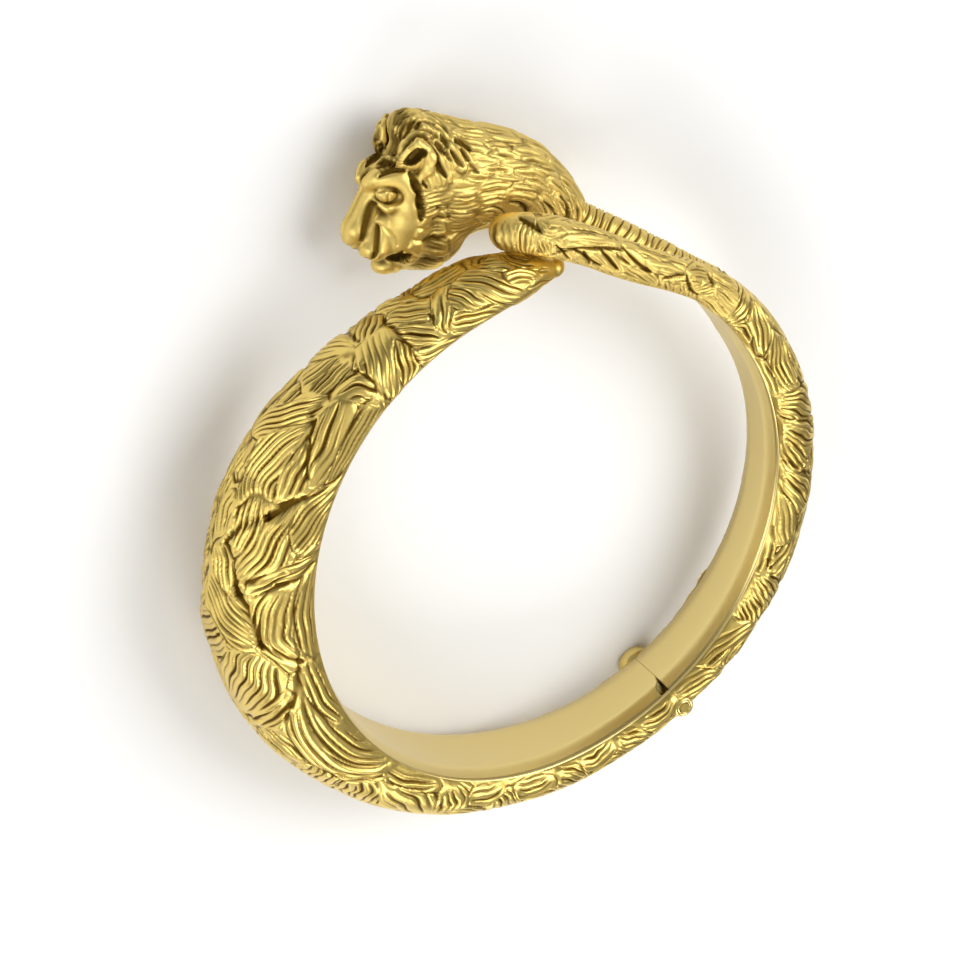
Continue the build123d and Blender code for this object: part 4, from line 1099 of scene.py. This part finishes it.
HEAD_HOLLOWS = [
    # forward, side, up, half length, half width, half height, tilt, blend
    (12.9, 0.0, 4.5, 1.6, 4.0, 0.90, 10, 0.60),
    (11.75, 3.1, 0.4, 1.45, 0.85, 0.98, -15, 0.30),
    (12.3, 0.0, -7.75, 3.6, 3.4, 0.55, 20, 0.25),
    (10.0, 2.6, -7.15, 1.85, 1.6, 0.66, 32, 0.12),
    (10.1, 4.3, 5.0, 1.30, 1.6, 0.72, 47, 0.10),
]
HEAD_BALLS = [
    (11.75, 2.2, 0.45, 1.25, 0.85, 1.0, -10, 0.08),
]
# Locks of the mane: a spine through three places given by forward and distance round from the
# crown line, then width in millimetres, cuts, lift
HEAD_PATCHES = [
    (11.3, -.6, 12.2, .7, 13.0, 2.3, 1.2, 3, .5),
    (11.0, .6, 11.6, 1.6, 12.3, 2.7, 1.1, 3, .5),
    (10.9, 1.9, 11.2, 2.3, 11.7, 2.8, .8, 2, .5),
    (10.9, .3, 9.8, .1, 8.4, -.1, 1.2, 4, .5),
    (10.6, 1.2, 9.6, 1.1, 8.4, .8, 1.0, 3, .5),
    (9.8, 1.9, 8.8, 1.8, 7.6, 1.9, .9, 2, .6),
    (8.6, 1.7, 7.8, 1.7, 7.0, 2.4, 1.2, 3, .4),
    (7.8, .9, 6.7, 1.1, 5.8, 2.2, 1.4, 3, .7),
    (6.6, 0, 5.2, .5, 3.8, .9, 1.6, 4, .5),
    (5.0, .2, 2.8, .5, .4, .6, 1.7, 3, .7),
    (4.2, 1.5, 2.2, 1.6, .2, 1.7, 1.3, 2, .3),
    (1.0, .5, -1.4, .5, -4.0, .4, 1.7, 3, .5),
    (.4, 1.6, -2.0, 1.5, -4.6, 1.3, 1.4, 2, .7),
    (-3.6, .3, -6.0, .3, -8.4, .4, 1.7, 3, .6),
    (-4.2, 1.5, -6.4, 1.2, -8.6, 1.3, 1.3, 2, .3),
    (-8.2, .5, -10.2, .6, -12.0, .9, 1.7, 3, .5),
    (7.5, 2.8, 6.9, 3.8, 6.2, 5.0, 1.2, 2, .7),
    (6.2, 2.3, 5.2, 3.4, 4.2, 5.0, 1.3, 2, .8),
    (5.4, 2.2, 4.2, 2.9, 3.0, 4.2, 1.2, 2, .4),
    (4.2, 2.2, 2.6, 2.7, .8, 3.0, 1.2, 2, .6),
    (3.2, 3.6, 1.6, 4.1, -.2, 4.2, 1.1, 1, .5),
    (7.4, 4.6, 6.8, 5.6, 6.4, 6.6, 1.0, 1, .4),
    (9.2, 4.9, 8.4, 5.8, 7.6, 6.6, 1.1, 1, .5),
    (.8, 2.6, -.8, 2.5, -2.6, 2.5, 1.0, 1, .6),
    (.2, 3.4, -1.4, 3.2, -3.2, 3.4, 1.0, 1, .3),
    (-.4, 4.3, -2.4, 4.0, -4.6, 3.8, 1.0, 1, .7),
    (1.8, 5.0, 0, 4.9, -2.0, 4.9, 1.0, 1, .4),
    (-2.2, 2.6, -4.6, 2.4, -7.0, 1.9, 1.1, 1, .5),
    (-3.0, 3.5, -5.4, 3.1, -7.8, 2.4, 1.1, 1, .3),
    (-4.4, 4.0, -6.4, 3.6, -8.6, 3.0, 1.1, 1, .7),
    (-7.0, 2.0, -9.0, 1.8, -11.2, 2.0, 1.2, 2, .5),
    (-8.4, 3.0, -10.0, 3.0, -11.6, 3.6, 1.3, 2, .3),
    (-1.8, 4.9, -4.2, 4.8, -6.6, 4.6, 1.0, 1, .4),
    (4.2, 5.2, 2.4, 5.6, .6, 5.6, 1.1, 1, .6),
    (.8, 5.7, -1.2, 5.6, -3.4, 5.6, 1.0, 1, .7),
    (-3.2, 5.7, -5.4, 5.6, -7.4, 5.9, 1.0, 1, .3),
    (-6.4, 4.7, -8.2, 4.5, -9.8, 5.2, 1.1, 1, .6),
    (6.0, 6.3, 4.2, 6.4, 2.2, 6.4, 1.1, 1, .3),
    (2.4, 6.5, .4, 6.4, -1.8, 6.3, 1.0, 1, .5),
    (-1.6, 6.5, -3.6, 6.3, -5.8, 6.6, 1.0, 1, .6),
    (-5.4, 6.6, -7.2, 6.9, -8.4, 8.0, 1.1, 1, .4),
    (-7.4, 6.0, -9.0, 6.4, -9.8, 7.8, 1.2, 2, .7),
    (-9.6, 4.6, -10.6, 5.8, -10.8, 7.4, 1.4, 2, .5),
    (-10.8, 3.6, -11.8, 5.0, -12.0, 6.8, 1.3, 2, .3),
    (2.6, 7.4, .6, 7.3, -1.4, 7.2, 1.0, 1, .3),
    (-1.0, 7.4, -3.2, 7.2, -5.2, 7.6, 1.0, 1, .5),
    (-4.8, 7.6, -6.4, 8.2, -7.2, 9.6, 1.1, 1, .6),
    (-8.2, 8.0, -8.8, 9.2, -8.8, 10.6, 1.4, 2, .4),
    (-10.2, 7.6, -10.6, 9.0, -10.4, 10.4, 1.4, 2, .5),
    (8.4, 6.8, 7.0, 6.6, 5.6, 6.3, 1.2, 2, .5),
    (8.2, 7.9, 6.8, 7.8, 5.2, 7.4, 1.2, 2, .4),
    (8.4, 9.2, 7.0, 9.2, 5.4, 8.8, 1.3, 2, .6),
    (8.2, 10.4, 6.8, 10.6, 5.2, 10.4, 1.2, 4, .4),
    (5.4, 7.4, 4.0, 7.5, 2.4, 7.4, 1.1, 1, .6),
    (5.4, 8.8, 3.8, 8.9, 2.0, 8.6, 1.3, 2, .4),
    (2.2, 8.4, .4, 8.3, -1.6, 8.2, 1.1, 1, .6),
    (-1.4, 8.3, -3.2, 8.4, -4.8, 9.0, 1.1, 1, .3),
    (5.2, 10.3, 3.6, 10.2, 1.8, 9.8, 1.2, 2, .7),
    (2.0, 9.7, .2, 9.7, -1.4, 10.4, 1.2, 2, .4),
    (8.2, 11.6, 6.4, 11.9, 4.8, 11.8, 1.2, 4, .5),
    (4.8, 11.7, 3.0, 11.5, 1.4, 11.2, 1.2, 3, .4),
    (7.8, 12.8, 5.8, 13.2, 4.0, 13.2, 1.2, 5, .5),
    (4.0, 13.1, 2.2, 12.8, .6, 12.2, 1.2, 3, .5),
    (1.2, 11.0, -.4, 11.2, -1.8, 11.8, 1.2, 2, .5),
    (8.4, 14.0, 6.2, 14.4, 4.0, 14.4, 1.2, 5, .5),
    (4.0, 14.4, 2.2, 14.0, .4, 13.4, 1.2, 4, .4),
    (-4.6, 9.2, -5.8, 10.2, -6.2, 11.6, 1.3, 2, .4),
    (-1.6, 12, -3, 12.4, -4.4, 12.6, 1.4, 2, .4),
    (8.2, 15.3, 6.0, 15.5, 3.8, 15.4, 1.4, 5, .5),
    (3.8, 15.4, 2.0, 15.1, 0.0, 14.6, 1.4, 4, .4),
    (.4, 13.9, -1.4, 13.7, -3.4, 13.5, 1.4, 2, .5),
]
# Deep hollows between the locks: the same spine, then width and depth in millimetres
HEAD_VALLEYS = [
    (10.9, .3, 10.3, .15, 9.6, 0, .16, .20),
    (10.87, .53, 10.3, .43, 9.4, .33, .16, .22),
    (10.8, .8, 10.2, .66, 9.5, .57, .17, .24),
    (10.6, 1.05, 10.2, 1.0, 9.5, .87, .18, .26),
    (10.2, 1.35, 9.8, 1.23, 9.2, 1.03, .22, .30),
    (9.4, 1.45, 9.1, 1.33, 8.7, 1.13, .26, .30),
    (8.8, 1.2, 7.8, 1.1, 7.1, 1.3, .14, .20),
    (9.0, 1.67, 7.8, 1.8, 7.0, 2.05, .16, .22),
    (7.8, 2.2, 7.1, 2.1, 6.6, 2.4, .16, .22),
    (6.5, 1.2, 6.0, 1.4, 5.75, 1.8, .30, .32),
    (6.6, 2.0, 6.3, 2.3, 6.1, 2.8, .30, .32),
    (7.3, 2.5, 6.9, 2.7, 6.5, 3.2, .38, .38),
    (6.4, 3.2, 6.1, 3.5, 5.8, 3.8, .26, .30),
    (5.7, 3.2, 5.2, 3.6, 4.5, 4.3, .38, .38),
    (7.3, 3.8, 6.9, 4.4, 6.3, 5.1, .42, .42),
    (8.8, 5.1, 8.4, 5.6, 8.1, 6.2, .15, .20),
    (8.3, 5.0, 8.0, 5.5, 7.7, 6.2, .15, .20),
    (4.9, 2.4, 4.0, 2.5, 3.2, 2.9, .50, .40),
    (4.2, 3.0, 3.9, 3.4, 3.5, 3.9, .35, .35),
    (3.4, 4.2, 3.0, 4.6, 2.6, 5.0, .35, .35),
    (1.0, 2.2, -.6, 2.4, -2.5, 2.2, .30, .14),
    (-.3, 3.0, -1.0, 3.2, -1.6, 3.1, .40, .12),
    (9.9, 4.8, 9.6, 5.5, 9.3, 6.2, .45, .45),
    (9.0, 6.6, 8.9, 7.5, 8.7, 8.5, .50, .45),
    (6.6, 9.0, 6.0, 9.6, 5.4, 9.4, .30, .20),
    (6.9, 10.6, 5.6, 10.9, 4.8, 10.5, .30, .24),
    (-6.2, 7.5, -7.6, 8.0, -8.4, 9.2, .40, .35),
    (-8.4, 5.6, -9.4, 6.4, -9.6, 8.4, .40, .35),
    (-9.8, 6.6, -10.2, 8.0, -10.0, 9.8, .40, .35),
    (-11.0, 4.6, -11.5, 6.0, -11.5, 8.0, .40, .35),
    (-2.0, 8.6, -3.6, 8.9, -4.6, 10.2, .45, .35),
    (7.6, 12.4, 6.0, 12.7, 4.4, 12.5, .22, .20),
    (7.4, 13.6, 5.6, 13.9, 4.0, 13.8, .22, .20),
    (11.1, 2.5, 9.7, 2.1, 8.4, 2.5, .28, .34),
    (8.4, 2.5, 7.7, 3.2, 7.8, 4.3, .28, .34),
]
# Grooves of the face, cut on both sides: three places given by forward and up, then the least
# distance from the middle plane, width and depth
FACE_GROOVES = [
    (13.0, -.7, 13.4, -2.6, 13.7, -4.9, .55, .74, .30),
    (12.2, -3.3, 12.4, -5.2, 12.6, -6.7, .7, .48, .32),
    (14.3, -5.6, 14.6, -6.1, 14.9, -6.2, .3, .30, .25),
    (10.0, 3.0, 9.3, 1.6, 8.9, .7, 1.8, .46, .36),
    (8.9, .6, 8.6, -.8, 8.5, -2.0, 1.8, .50, .40),
    (12.9, .75, 11.9, 1.05, 10.6, .5, 1.0, .16, .20),
    (13.0, 2.4, 12.0, 3.1, 10.6, 3.3, .2, .26, .30),
    (11.9, .9, 11.95, .3, 11.8, -.3, 1.6, .18, .20),
    (11.5, -7.6, 10.4, -6.9, 9.6, -5.9, .6, .34, .30),
    (13.1, -6.9, 12.6, -7.5, 11.9, -7.9, .2, .30, .26),
    (12.0, -3.0, 11.0, -4.0, 10.3, -5.2, 1.2, .22, .14),
    (11.3, 3.9, 11.0, 4.1, 10.6, 4.0, .6, .18, .14),
    (12.2, 3.2, 11.8, 3.6, 11.2, 3.6, .6, .18, .14),
    (12.7, 2.9, 12.5, 3.3, 12.1, 3.6, .3, .18, .14),
    (12.0, 3.9, 11.6, 4.4, 11.0, 4.6, .2, .18, .14),
]
# Where the mane ends at the face: places up, and how far forward it reaches there
FACE_EDGE = ([-10, -7, -5.5, -4, -2, 0.7, 1.6, 3.0, 3.3, 3.6],
             [9.0, 9.2, 9.2, 8.8, 8.6, 9.0, 9.3, 10.0, 11.6, 14.0])
EAR_ZONE = (9.4, 4.4, 4.7, 2.2, 1.2, 2.4, -15)
# The middle of the head's sections: places forward, and how high it lies there
CROWN_LINE = ([-14, -12, -5, 0, 8, 13], [-6, -5.2, -1.2, 0, 0, -1])
# How much narrower the head's far side is: places forward, and the factor there
FAR_SIDE = ([2, 8, 12], [1, 1.35, 1.6])
# The head's grid, and how the mane is mirrored and where it fades out, in millimetres
HEAD_STEP = 0.125
HEAD_REACH = ([-14.6, -10.2, -6.6], [15.6, 10.6, 6.6])
HEAD_GIRTH = 5.0
MIRROR_BEYOND = 0.75
MIRROR_SHIFT = -0.6
MIRROR_SHIFT_FROM = 7
MIRROR_SHIFT_RISE = 0.2
MANE_SEED = 11
MANE_CUTS = (0.14, 0.30, 0.11, 0.22)
MANE_END = (1.5, 0.3)
MANE_BASE = 0.28
MANE_START = -14
MANE_START_FADE = 0.6
FACE_FADE = 0.4
EAR_FADE = 0.3
BROW = 13
BROW_FADE = 2.5
BROW_LEAST = 0.2
GROOVE_REACH = 5
GROOVE_SHADE = 0.30
DEEP_GROOVE = 0.3
FACE_START = 4.0


def soft_union(a, b, blend):
    """Two distance fields joined with a fillet."""
    near = np.maximum(blend - np.abs(a - b), 0) / blend
    return np.minimum(a, b) - near * near * blend / 4


def mass_field(forward, side, up, row):
    """Distance from an ellipsoid; one that isn't on the middle plane is there on both sides."""
    centre_forward, centre_side, centre_up, half_length, half_width, half_height, tilt = row[:7]
    cosine, sine = np.cos(tilt * TURN), np.sin(tilt * TURN)
    along = (forward - centre_forward) * cosine - (up - centre_up) * sine
    high = (forward - centre_forward) * sine + (up - centre_up) * cosine
    aside = np.abs(side) - centre_side if centre_side else side
    x, y, z = along / half_length, aside / half_width, high / half_height
    near = np.sqrt(x * x + y * y + z * z) + 1e-9
    steep = np.sqrt((x / half_length) ** 2 + (y / half_width) ** 2 + (z / half_height) ** 2) + 1e-9
    return near * (near - 1) / steep


def bar_field(forward, side, up, row):
    """Distance from a round bar between two places, there on both sides as a mass is."""
    start, stop, (first_radius, last_radius) = row[:3], row[3:6], row[6:8]
    span = [b - a for a, b in zip(start, stop)]
    aside = np.abs(side) if (start[1] or stop[1]) else side
    offset = [forward - start[0], aside - start[1], up - start[2]]
    share = np.clip(sum(a * b for a, b in zip(offset, span)) / sum(b * b for b in span), 0, 1)
    away = np.sqrt(sum((a - b * share) ** 2 for a, b in zip(offset, span)))
    return away - first_radius - (last_radius - first_radius) * share


def head_places(points):
    """Places on the head: forward, sideways and up. The far side of the face is narrower."""
    forward = points[..., 0] - HEAD_ORIGIN[0]
    side = points[..., 2] - HEAD_ORIGIN[2]
    side = side * np.where(side < 0, np.interp(forward, *FAR_SIDE), 1)
    return forward, side, HEAD_ORIGIN[1] - points[..., 1]


# What the head is made of after its first mass; -1 takes a form away
HEAD_STEPS = ((mass_field, HEAD_MASSES[1:], 1), (bar_field, HEAD_BARS, 1),
              (mass_field, HEAD_HOLLOWS, -1), (mass_field, HEAD_BALLS, 1))


def head_field(points):
    """Distance from the head's surface, below 0 inside."""
    forward, side, up = head_places(points)
    distance = mass_field(forward, side, up, HEAD_MASSES[0])
    for field_of, rows, sign in HEAD_STEPS:
        for row in rows:
            other = field_of(forward, side, up, row)
            distance = sign * soft_union(sign * distance, other, row[-1])
    return distance


def both_sides(table):
    """The rows of a table of spines, with those of the near side repeated on the far one."""
    for row in table:
        yield split_row(row)
        if row[3] > MIRROR_BEYOND:
            share = min(1, max(0, MIRROR_SHIFT_RISE * (MIRROR_SHIFT_FROM - row[2])))
            shift = MIRROR_SHIFT * share
            mirrored = [-c if k % 2 else c + shift for k, c in enumerate(row[:6])]
            yield split_row((*mirrored, *row[6:]))


def head_carving(points):
    """Height of the mane's locks and the grooves of the face, and how deep they lie."""
    forward = points[:, 0] - HEAD_ORIGIN[0]
    up = HEAD_ORIGIN[1] - points[:, 1]
    side = points[:, 2] - HEAD_ORIGIN[2]
    around = HEAD_GIRTH * np.arctan2(side, up - np.interp(forward, *CROWN_LINE))
    mane = Carving(len(points), MANE_SEED, *MANE_CUTS)
    add_patches(mane, forward, around, both_sides(HEAD_PATCHES))
    weight = mane.weight(*MANE_END)
    weight *= np.clip((forward - MANE_START) / MANE_START_FADE, 0, 1)
    weight *= np.clip((np.interp(up, *FACE_EDGE) - forward) / FACE_FADE + 0.5, 0, 1)
    weight *= np.clip(mass_field(*head_places(points), EAR_ZONE) / EAR_FADE, 0, 1)
    base = MANE_BASE * np.clip((BROW - forward) / BROW_FADE, BROW_LEAST, 1)
    height = (mane.soft_height(1) + base) * weight
    uncut = (mane.panel + base) * weight
    cut_valleys(height, forward, around, both_sides(HEAD_VALLEYS))
    for row in FACE_GROOVES:
        marks, (least_side, width, depth) = split_row(row)
        away = np.hypot(forward - marks[1][0], up - marks[1][1])
        where = np.flatnonzero((away < GROOVE_REACH) & (np.abs(side) > least_side))
        share, _, away = spine_place(forward[where], up[where], marks)
        cut = single_cut(share, away, width)
        height[where] -= depth * cut
        # Deep grooves of the face get more painted shade
        uncut[where] += GROOVE_SHADE * cut * (depth >= DEEP_GROOVE)
    return height, uncut - height


def surface_net(field_of, low, high, step):
    """Quads round every place where a field changes sign, moved onto its zero."""
    axes = [np.arange(a, b + step, step) for a, b in zip(low, high)]
    shape = tuple(len(a) for a in axes)
    values = np.empty(shape, np.float32)
    for i, x in enumerate(axes[0]):
        y, z = np.meshgrid(axes[1], axes[2], indexing="ij")
        values[i] = field_of(np.stack([np.full(y.shape, x), y, z], -1))
    cells = tuple(n - 1 for n in shape)
    count = np.zeros(cells, np.int32)
    total = np.zeros((*cells, 3))

    def corner(offset):
        return values[tuple(slice(d, d + n) for d, n in zip(offset, cells))]

    for way in range(3):
        others = [k for k in range(3) if k != way]
        for pair in ((0, 0), (0, 1), (1, 0), (1, 1)):
            start = np.zeros(3, int)
            start[others] = pair
            end = start.copy()
            end[way] = 1
            a, b = corner(start), corner(end)
            crosses = (a < 0) != (b < 0)
            place = np.zeros((*cells, 3))
            place[..., others] = pair
            place[..., way] = np.where(crosses, a / np.where(crosses, a - b, 1), 0)
            total += place * crosses[..., None]
            count += crosses
    used = count > 0
    index = np.full(cells, -1, np.int64)
    index[used] = np.arange(used.sum())
    points = np.array(low) + step * (np.argwhere(used) + total[used] / count[used][:, None])
    inside = values < 0
    faces = []
    for way in range(3):
        others = [k for k in range(3) if k != way]
        here = [slice(1, n - 1) for n in shape]
        there = list(here)
        here[way] = slice(0, shape[way] - 1)
        there[way] = slice(1, shape[way])
        first, second = inside[tuple(here)], inside[tuple(there)]
        for flip in (False, True):
            base = np.argwhere(~first & second if flip else first & ~second)
            base[:, others] += 1
            quad = []
            for move in ((0, 0), (-1, 0), (-1, -1), (0, -1)):
                cell = base.copy()
                cell[:, [(way + 1) % 3, (way + 2) % 3]] += move
                quad.append(index[tuple(cell.T)])
            quad = np.stack(quad, -1)
            faces.append(quad[:, ::-1] if flip else quad)
    faces = np.concatenate(faces)
    return points, faces[(faces >= 0).all(axis=1)]


def field_slope(field_of, points, step=0.03):
    """Slope of a field at points, by a small step along each axis."""
    slope = np.empty(points.shape)
    for k in range(3):
        shift = np.zeros(3)
        shift[k] = step
        slope[:, k] = (field_of(points + shift) - field_of(points - shift)) / (2 * step)
    return slope


def mesh_normals(points, faces):
    """Normals at the points of a mesh of quads."""
    corner = points[faces]
    flat = np.cross(corner[:, 2] - corner[:, 0], corner[:, 3] - corner[:, 1])
    total = np.stack([np.bincount(faces.ravel(), np.repeat(flat[:, k], 4), len(points))
                      for k in range(3)], -1)
    return total / (np.linalg.norm(total, axis=1)[:, None] + 1e-12)


# How the net settles onto the field, and how dark the painted shade in the hollows of the head is
SETTLE_ROUNDS = 3
SETTLE_MOVE = 0.08
LEAST_SLOPE = 0.3
# Painted shade where the surface is closed in, at two distances: the distance, the least that counts as open, the
# shade
OPENINGS = [(0.35, 0.9, 1.3), (1.0, 0.75, 0.4)]
OPENING_SHARE = 0.7
DARK_HOLLOWS = HEAD_HOLLOWS[2:]
DARK_HOLLOW_EDGE = 0.12
DARK_HOLLOW_SHADE = 1.3
CUT_SHADE_FROM = 0.06
CUT_SHADE = 3.2
head_low, head_high = (HEAD_ORIGIN + np.array(corner) for corner in HEAD_REACH)
head_points, head_faces = surface_net(head_field, head_low, head_high, HEAD_STEP)
for _ in range(SETTLE_ROUNDS):
    slope = field_slope(head_field, head_points)
    size = np.maximum((slope ** 2).sum(axis=1), LEAST_SLOPE)
    move = -(head_field(head_points) / size)[:, None] * slope
    head_points = head_points + np.clip(move, -SETTLE_MOVE, SETTLE_MOVE)
slope = field_slope(head_field, head_points)
normal = slope / np.linalg.norm(slope, axis=1)[:, None]
head_height, head_depth = head_carving(head_points)
# Painted shade: darker where the surface is closed in, in the dark hollows and in the cuts
head_hollow = np.zeros(len(head_points))
for away, least, shade in OPENINGS:
    open_share = head_field(head_points + normal * away) / away
    head_hollow += np.clip(least - open_share, 0, 1) * shade
for row in DARK_HOLLOWS:
    dark = mass_field(*head_places(head_points), row) < DARK_HOLLOW_EDGE
    head_hollow = np.maximum(head_hollow, DARK_HOLLOW_SHADE * dark)
head_hollow *= OPENING_SHARE
head_hollow += np.clip(head_depth - CUT_SHADE_FROM, 0, 1) * CUT_SHADE
head_points = head_points + normal * head_height[:, None]
head_normals = mesh_normals(head_points, head_faces)
in_front = head_points[head_faces[:, 0], 0] > HEAD_ORIGIN[0] + FACE_START
for name, chosen in (("lion_face", in_front), ("lion_mane", ~in_front)):
    used, index = np.unique(head_faces[chosen], return_inverse=True)
    shared = np.isin(used, head_faces[~chosen])
    make_piece(name, head_points[used], index.reshape(-1, 4), head_hollow[used], "head_half",
               FINE, ("lion_head",), head_normals[used] * shared[:, None])

SENSOR_WIDTH = 36.0
IMAGE_WIDTH = 960
AZIMUTH, ELEVATION, ROLL = 48.512, 49.262, 131.612
DISTANCE, PIXELS_PER_MM, LEFT, DOWN = 600.0, 9.416, 5.32, -3.86
azimuth, elevation, roll = AZIMUTH * TURN, ELEVATION * TURN, ROLL * TURN
back = np.array([np.sin(azimuth) * np.cos(elevation), -np.cos(azimuth) * np.cos(elevation),
                 np.sin(elevation)])
level = np.array([np.cos(azimuth), np.sin(azimuth), 0.0])
upright = np.cross(back, level)
right = level * np.cos(roll) + upright * np.sin(roll)
top = upright * np.cos(roll) - level * np.sin(roll)
eye = DISTANCE * back - LEFT * right - DOWN * top
camera_data = bpy.data.cameras.new("camera")
camera_data.sensor_width = SENSOR_WIDTH
camera_data.lens = SENSOR_WIDTH * PIXELS_PER_MM * DISTANCE / IMAGE_WIDTH
camera_data.clip_start = 0.05
camera_data.clip_end = 10
camera = add_object("camera", camera_data)
turned = np.array([right @ ring_axes, top @ ring_axes, back @ ring_axes]).T
matrix = Matrix(turned.tolist()).to_4x4()
matrix.translation = Vector(to_frame(eye))
camera.matrix_world = matrix
bpy.context.scene.camera = camera

FLOOR_REACH = 3
FLOOR_COLOUR = (0.9, 0.9, 0.9, 1)
FLOOR_ROUGHNESS = 0.6
WORLD_STRENGTH = 0.6
# The soft studio: height over the horizon as a share, and the colour there
STUDIO = [(0.0, (0.16, 0.16, 0.155, 1)), (0.55, (0.42, 0.42, 0.41, 1)), (0.95, (0.95, 0.94, 0.92, 1))]
# Lights: place and size in metres, power in watts
LIGHTS = {
    "key": ((-0.35, -0.25, 0.55), (0.55, 0.55), 3.6),
    "fill": ((0.55, 0.15, 0.35), (0.4, 0.5), 1.8),
    "rim": ((0.0, 0.55, 0.35), (0.5, 0.25), 1.8),
}

floor_mesh = bpy.data.meshes.new("floor")
corners = [(x * FLOOR_REACH, y * FLOOR_REACH, 0) for x, y in ((-1, -1), (1, -1), (1, 1), (-1, 1))]
floor_mesh.from_pydata(corners, [], [(0, 1, 2, 3)])
floor = add_object("floor", floor_mesh)
floor_look = bpy.data.materials.new("floor_look")
floor_look.use_nodes = True
floor_shader = floor_look.node_tree.nodes["Principled BSDF"]
floor_shader.inputs["Base Color"].default_value = FLOOR_COLOUR
floor_shader.inputs["Roughness"].default_value = FLOOR_ROUGHNESS
floor_mesh.materials.append(floor_look)


def studio_world():
    """A soft studio: a bright ceiling that falls off to a grey wall all round."""
    world = bpy.data.worlds.new("studio")
    world.use_nodes = True
    tree = world.node_tree
    nodes, links = tree.nodes, tree.links
    place = nodes.new("ShaderNodeTexCoord")
    split = nodes.new("ShaderNodeSeparateXYZ")
    links.new(place.outputs["Generated"], split.inputs[0])
    fall = nodes.new("ShaderNodeValToRGB")
    stops = fall.color_ramp.elements
    for stop, (position, colour) in zip((stops[0], stops.new(0.5), stops[-1]), STUDIO):
        stop.position = position
        stop.color = colour
    links.new(split.outputs["Z"], fall.inputs["Fac"])
    links.new(fall.outputs["Color"], nodes["Background"].inputs["Color"])
    nodes["Background"].inputs["Strength"].default_value = WORLD_STRENGTH
    bpy.context.scene.world = world


def area_light(name, place, size, power):
    """A soft rectangular light that faces the origin."""
    data = bpy.data.lights.new(name, "AREA")
    data.shape = "RECTANGLE"
    data.size, data.size_y = size
    data.energy = power
    light = add_object(name, data)
    light.location = place
    light.rotation_euler = (Vector() - Vector(place)).to_track_quat("-Z", "Y").to_euler()


studio_world()
bpy.context.scene.view_settings.view_transform = "Standard"
for name, (place, size, power) in LIGHTS.items():
    area_light(name, place, size, power)

bpy.context.view_layer.update()
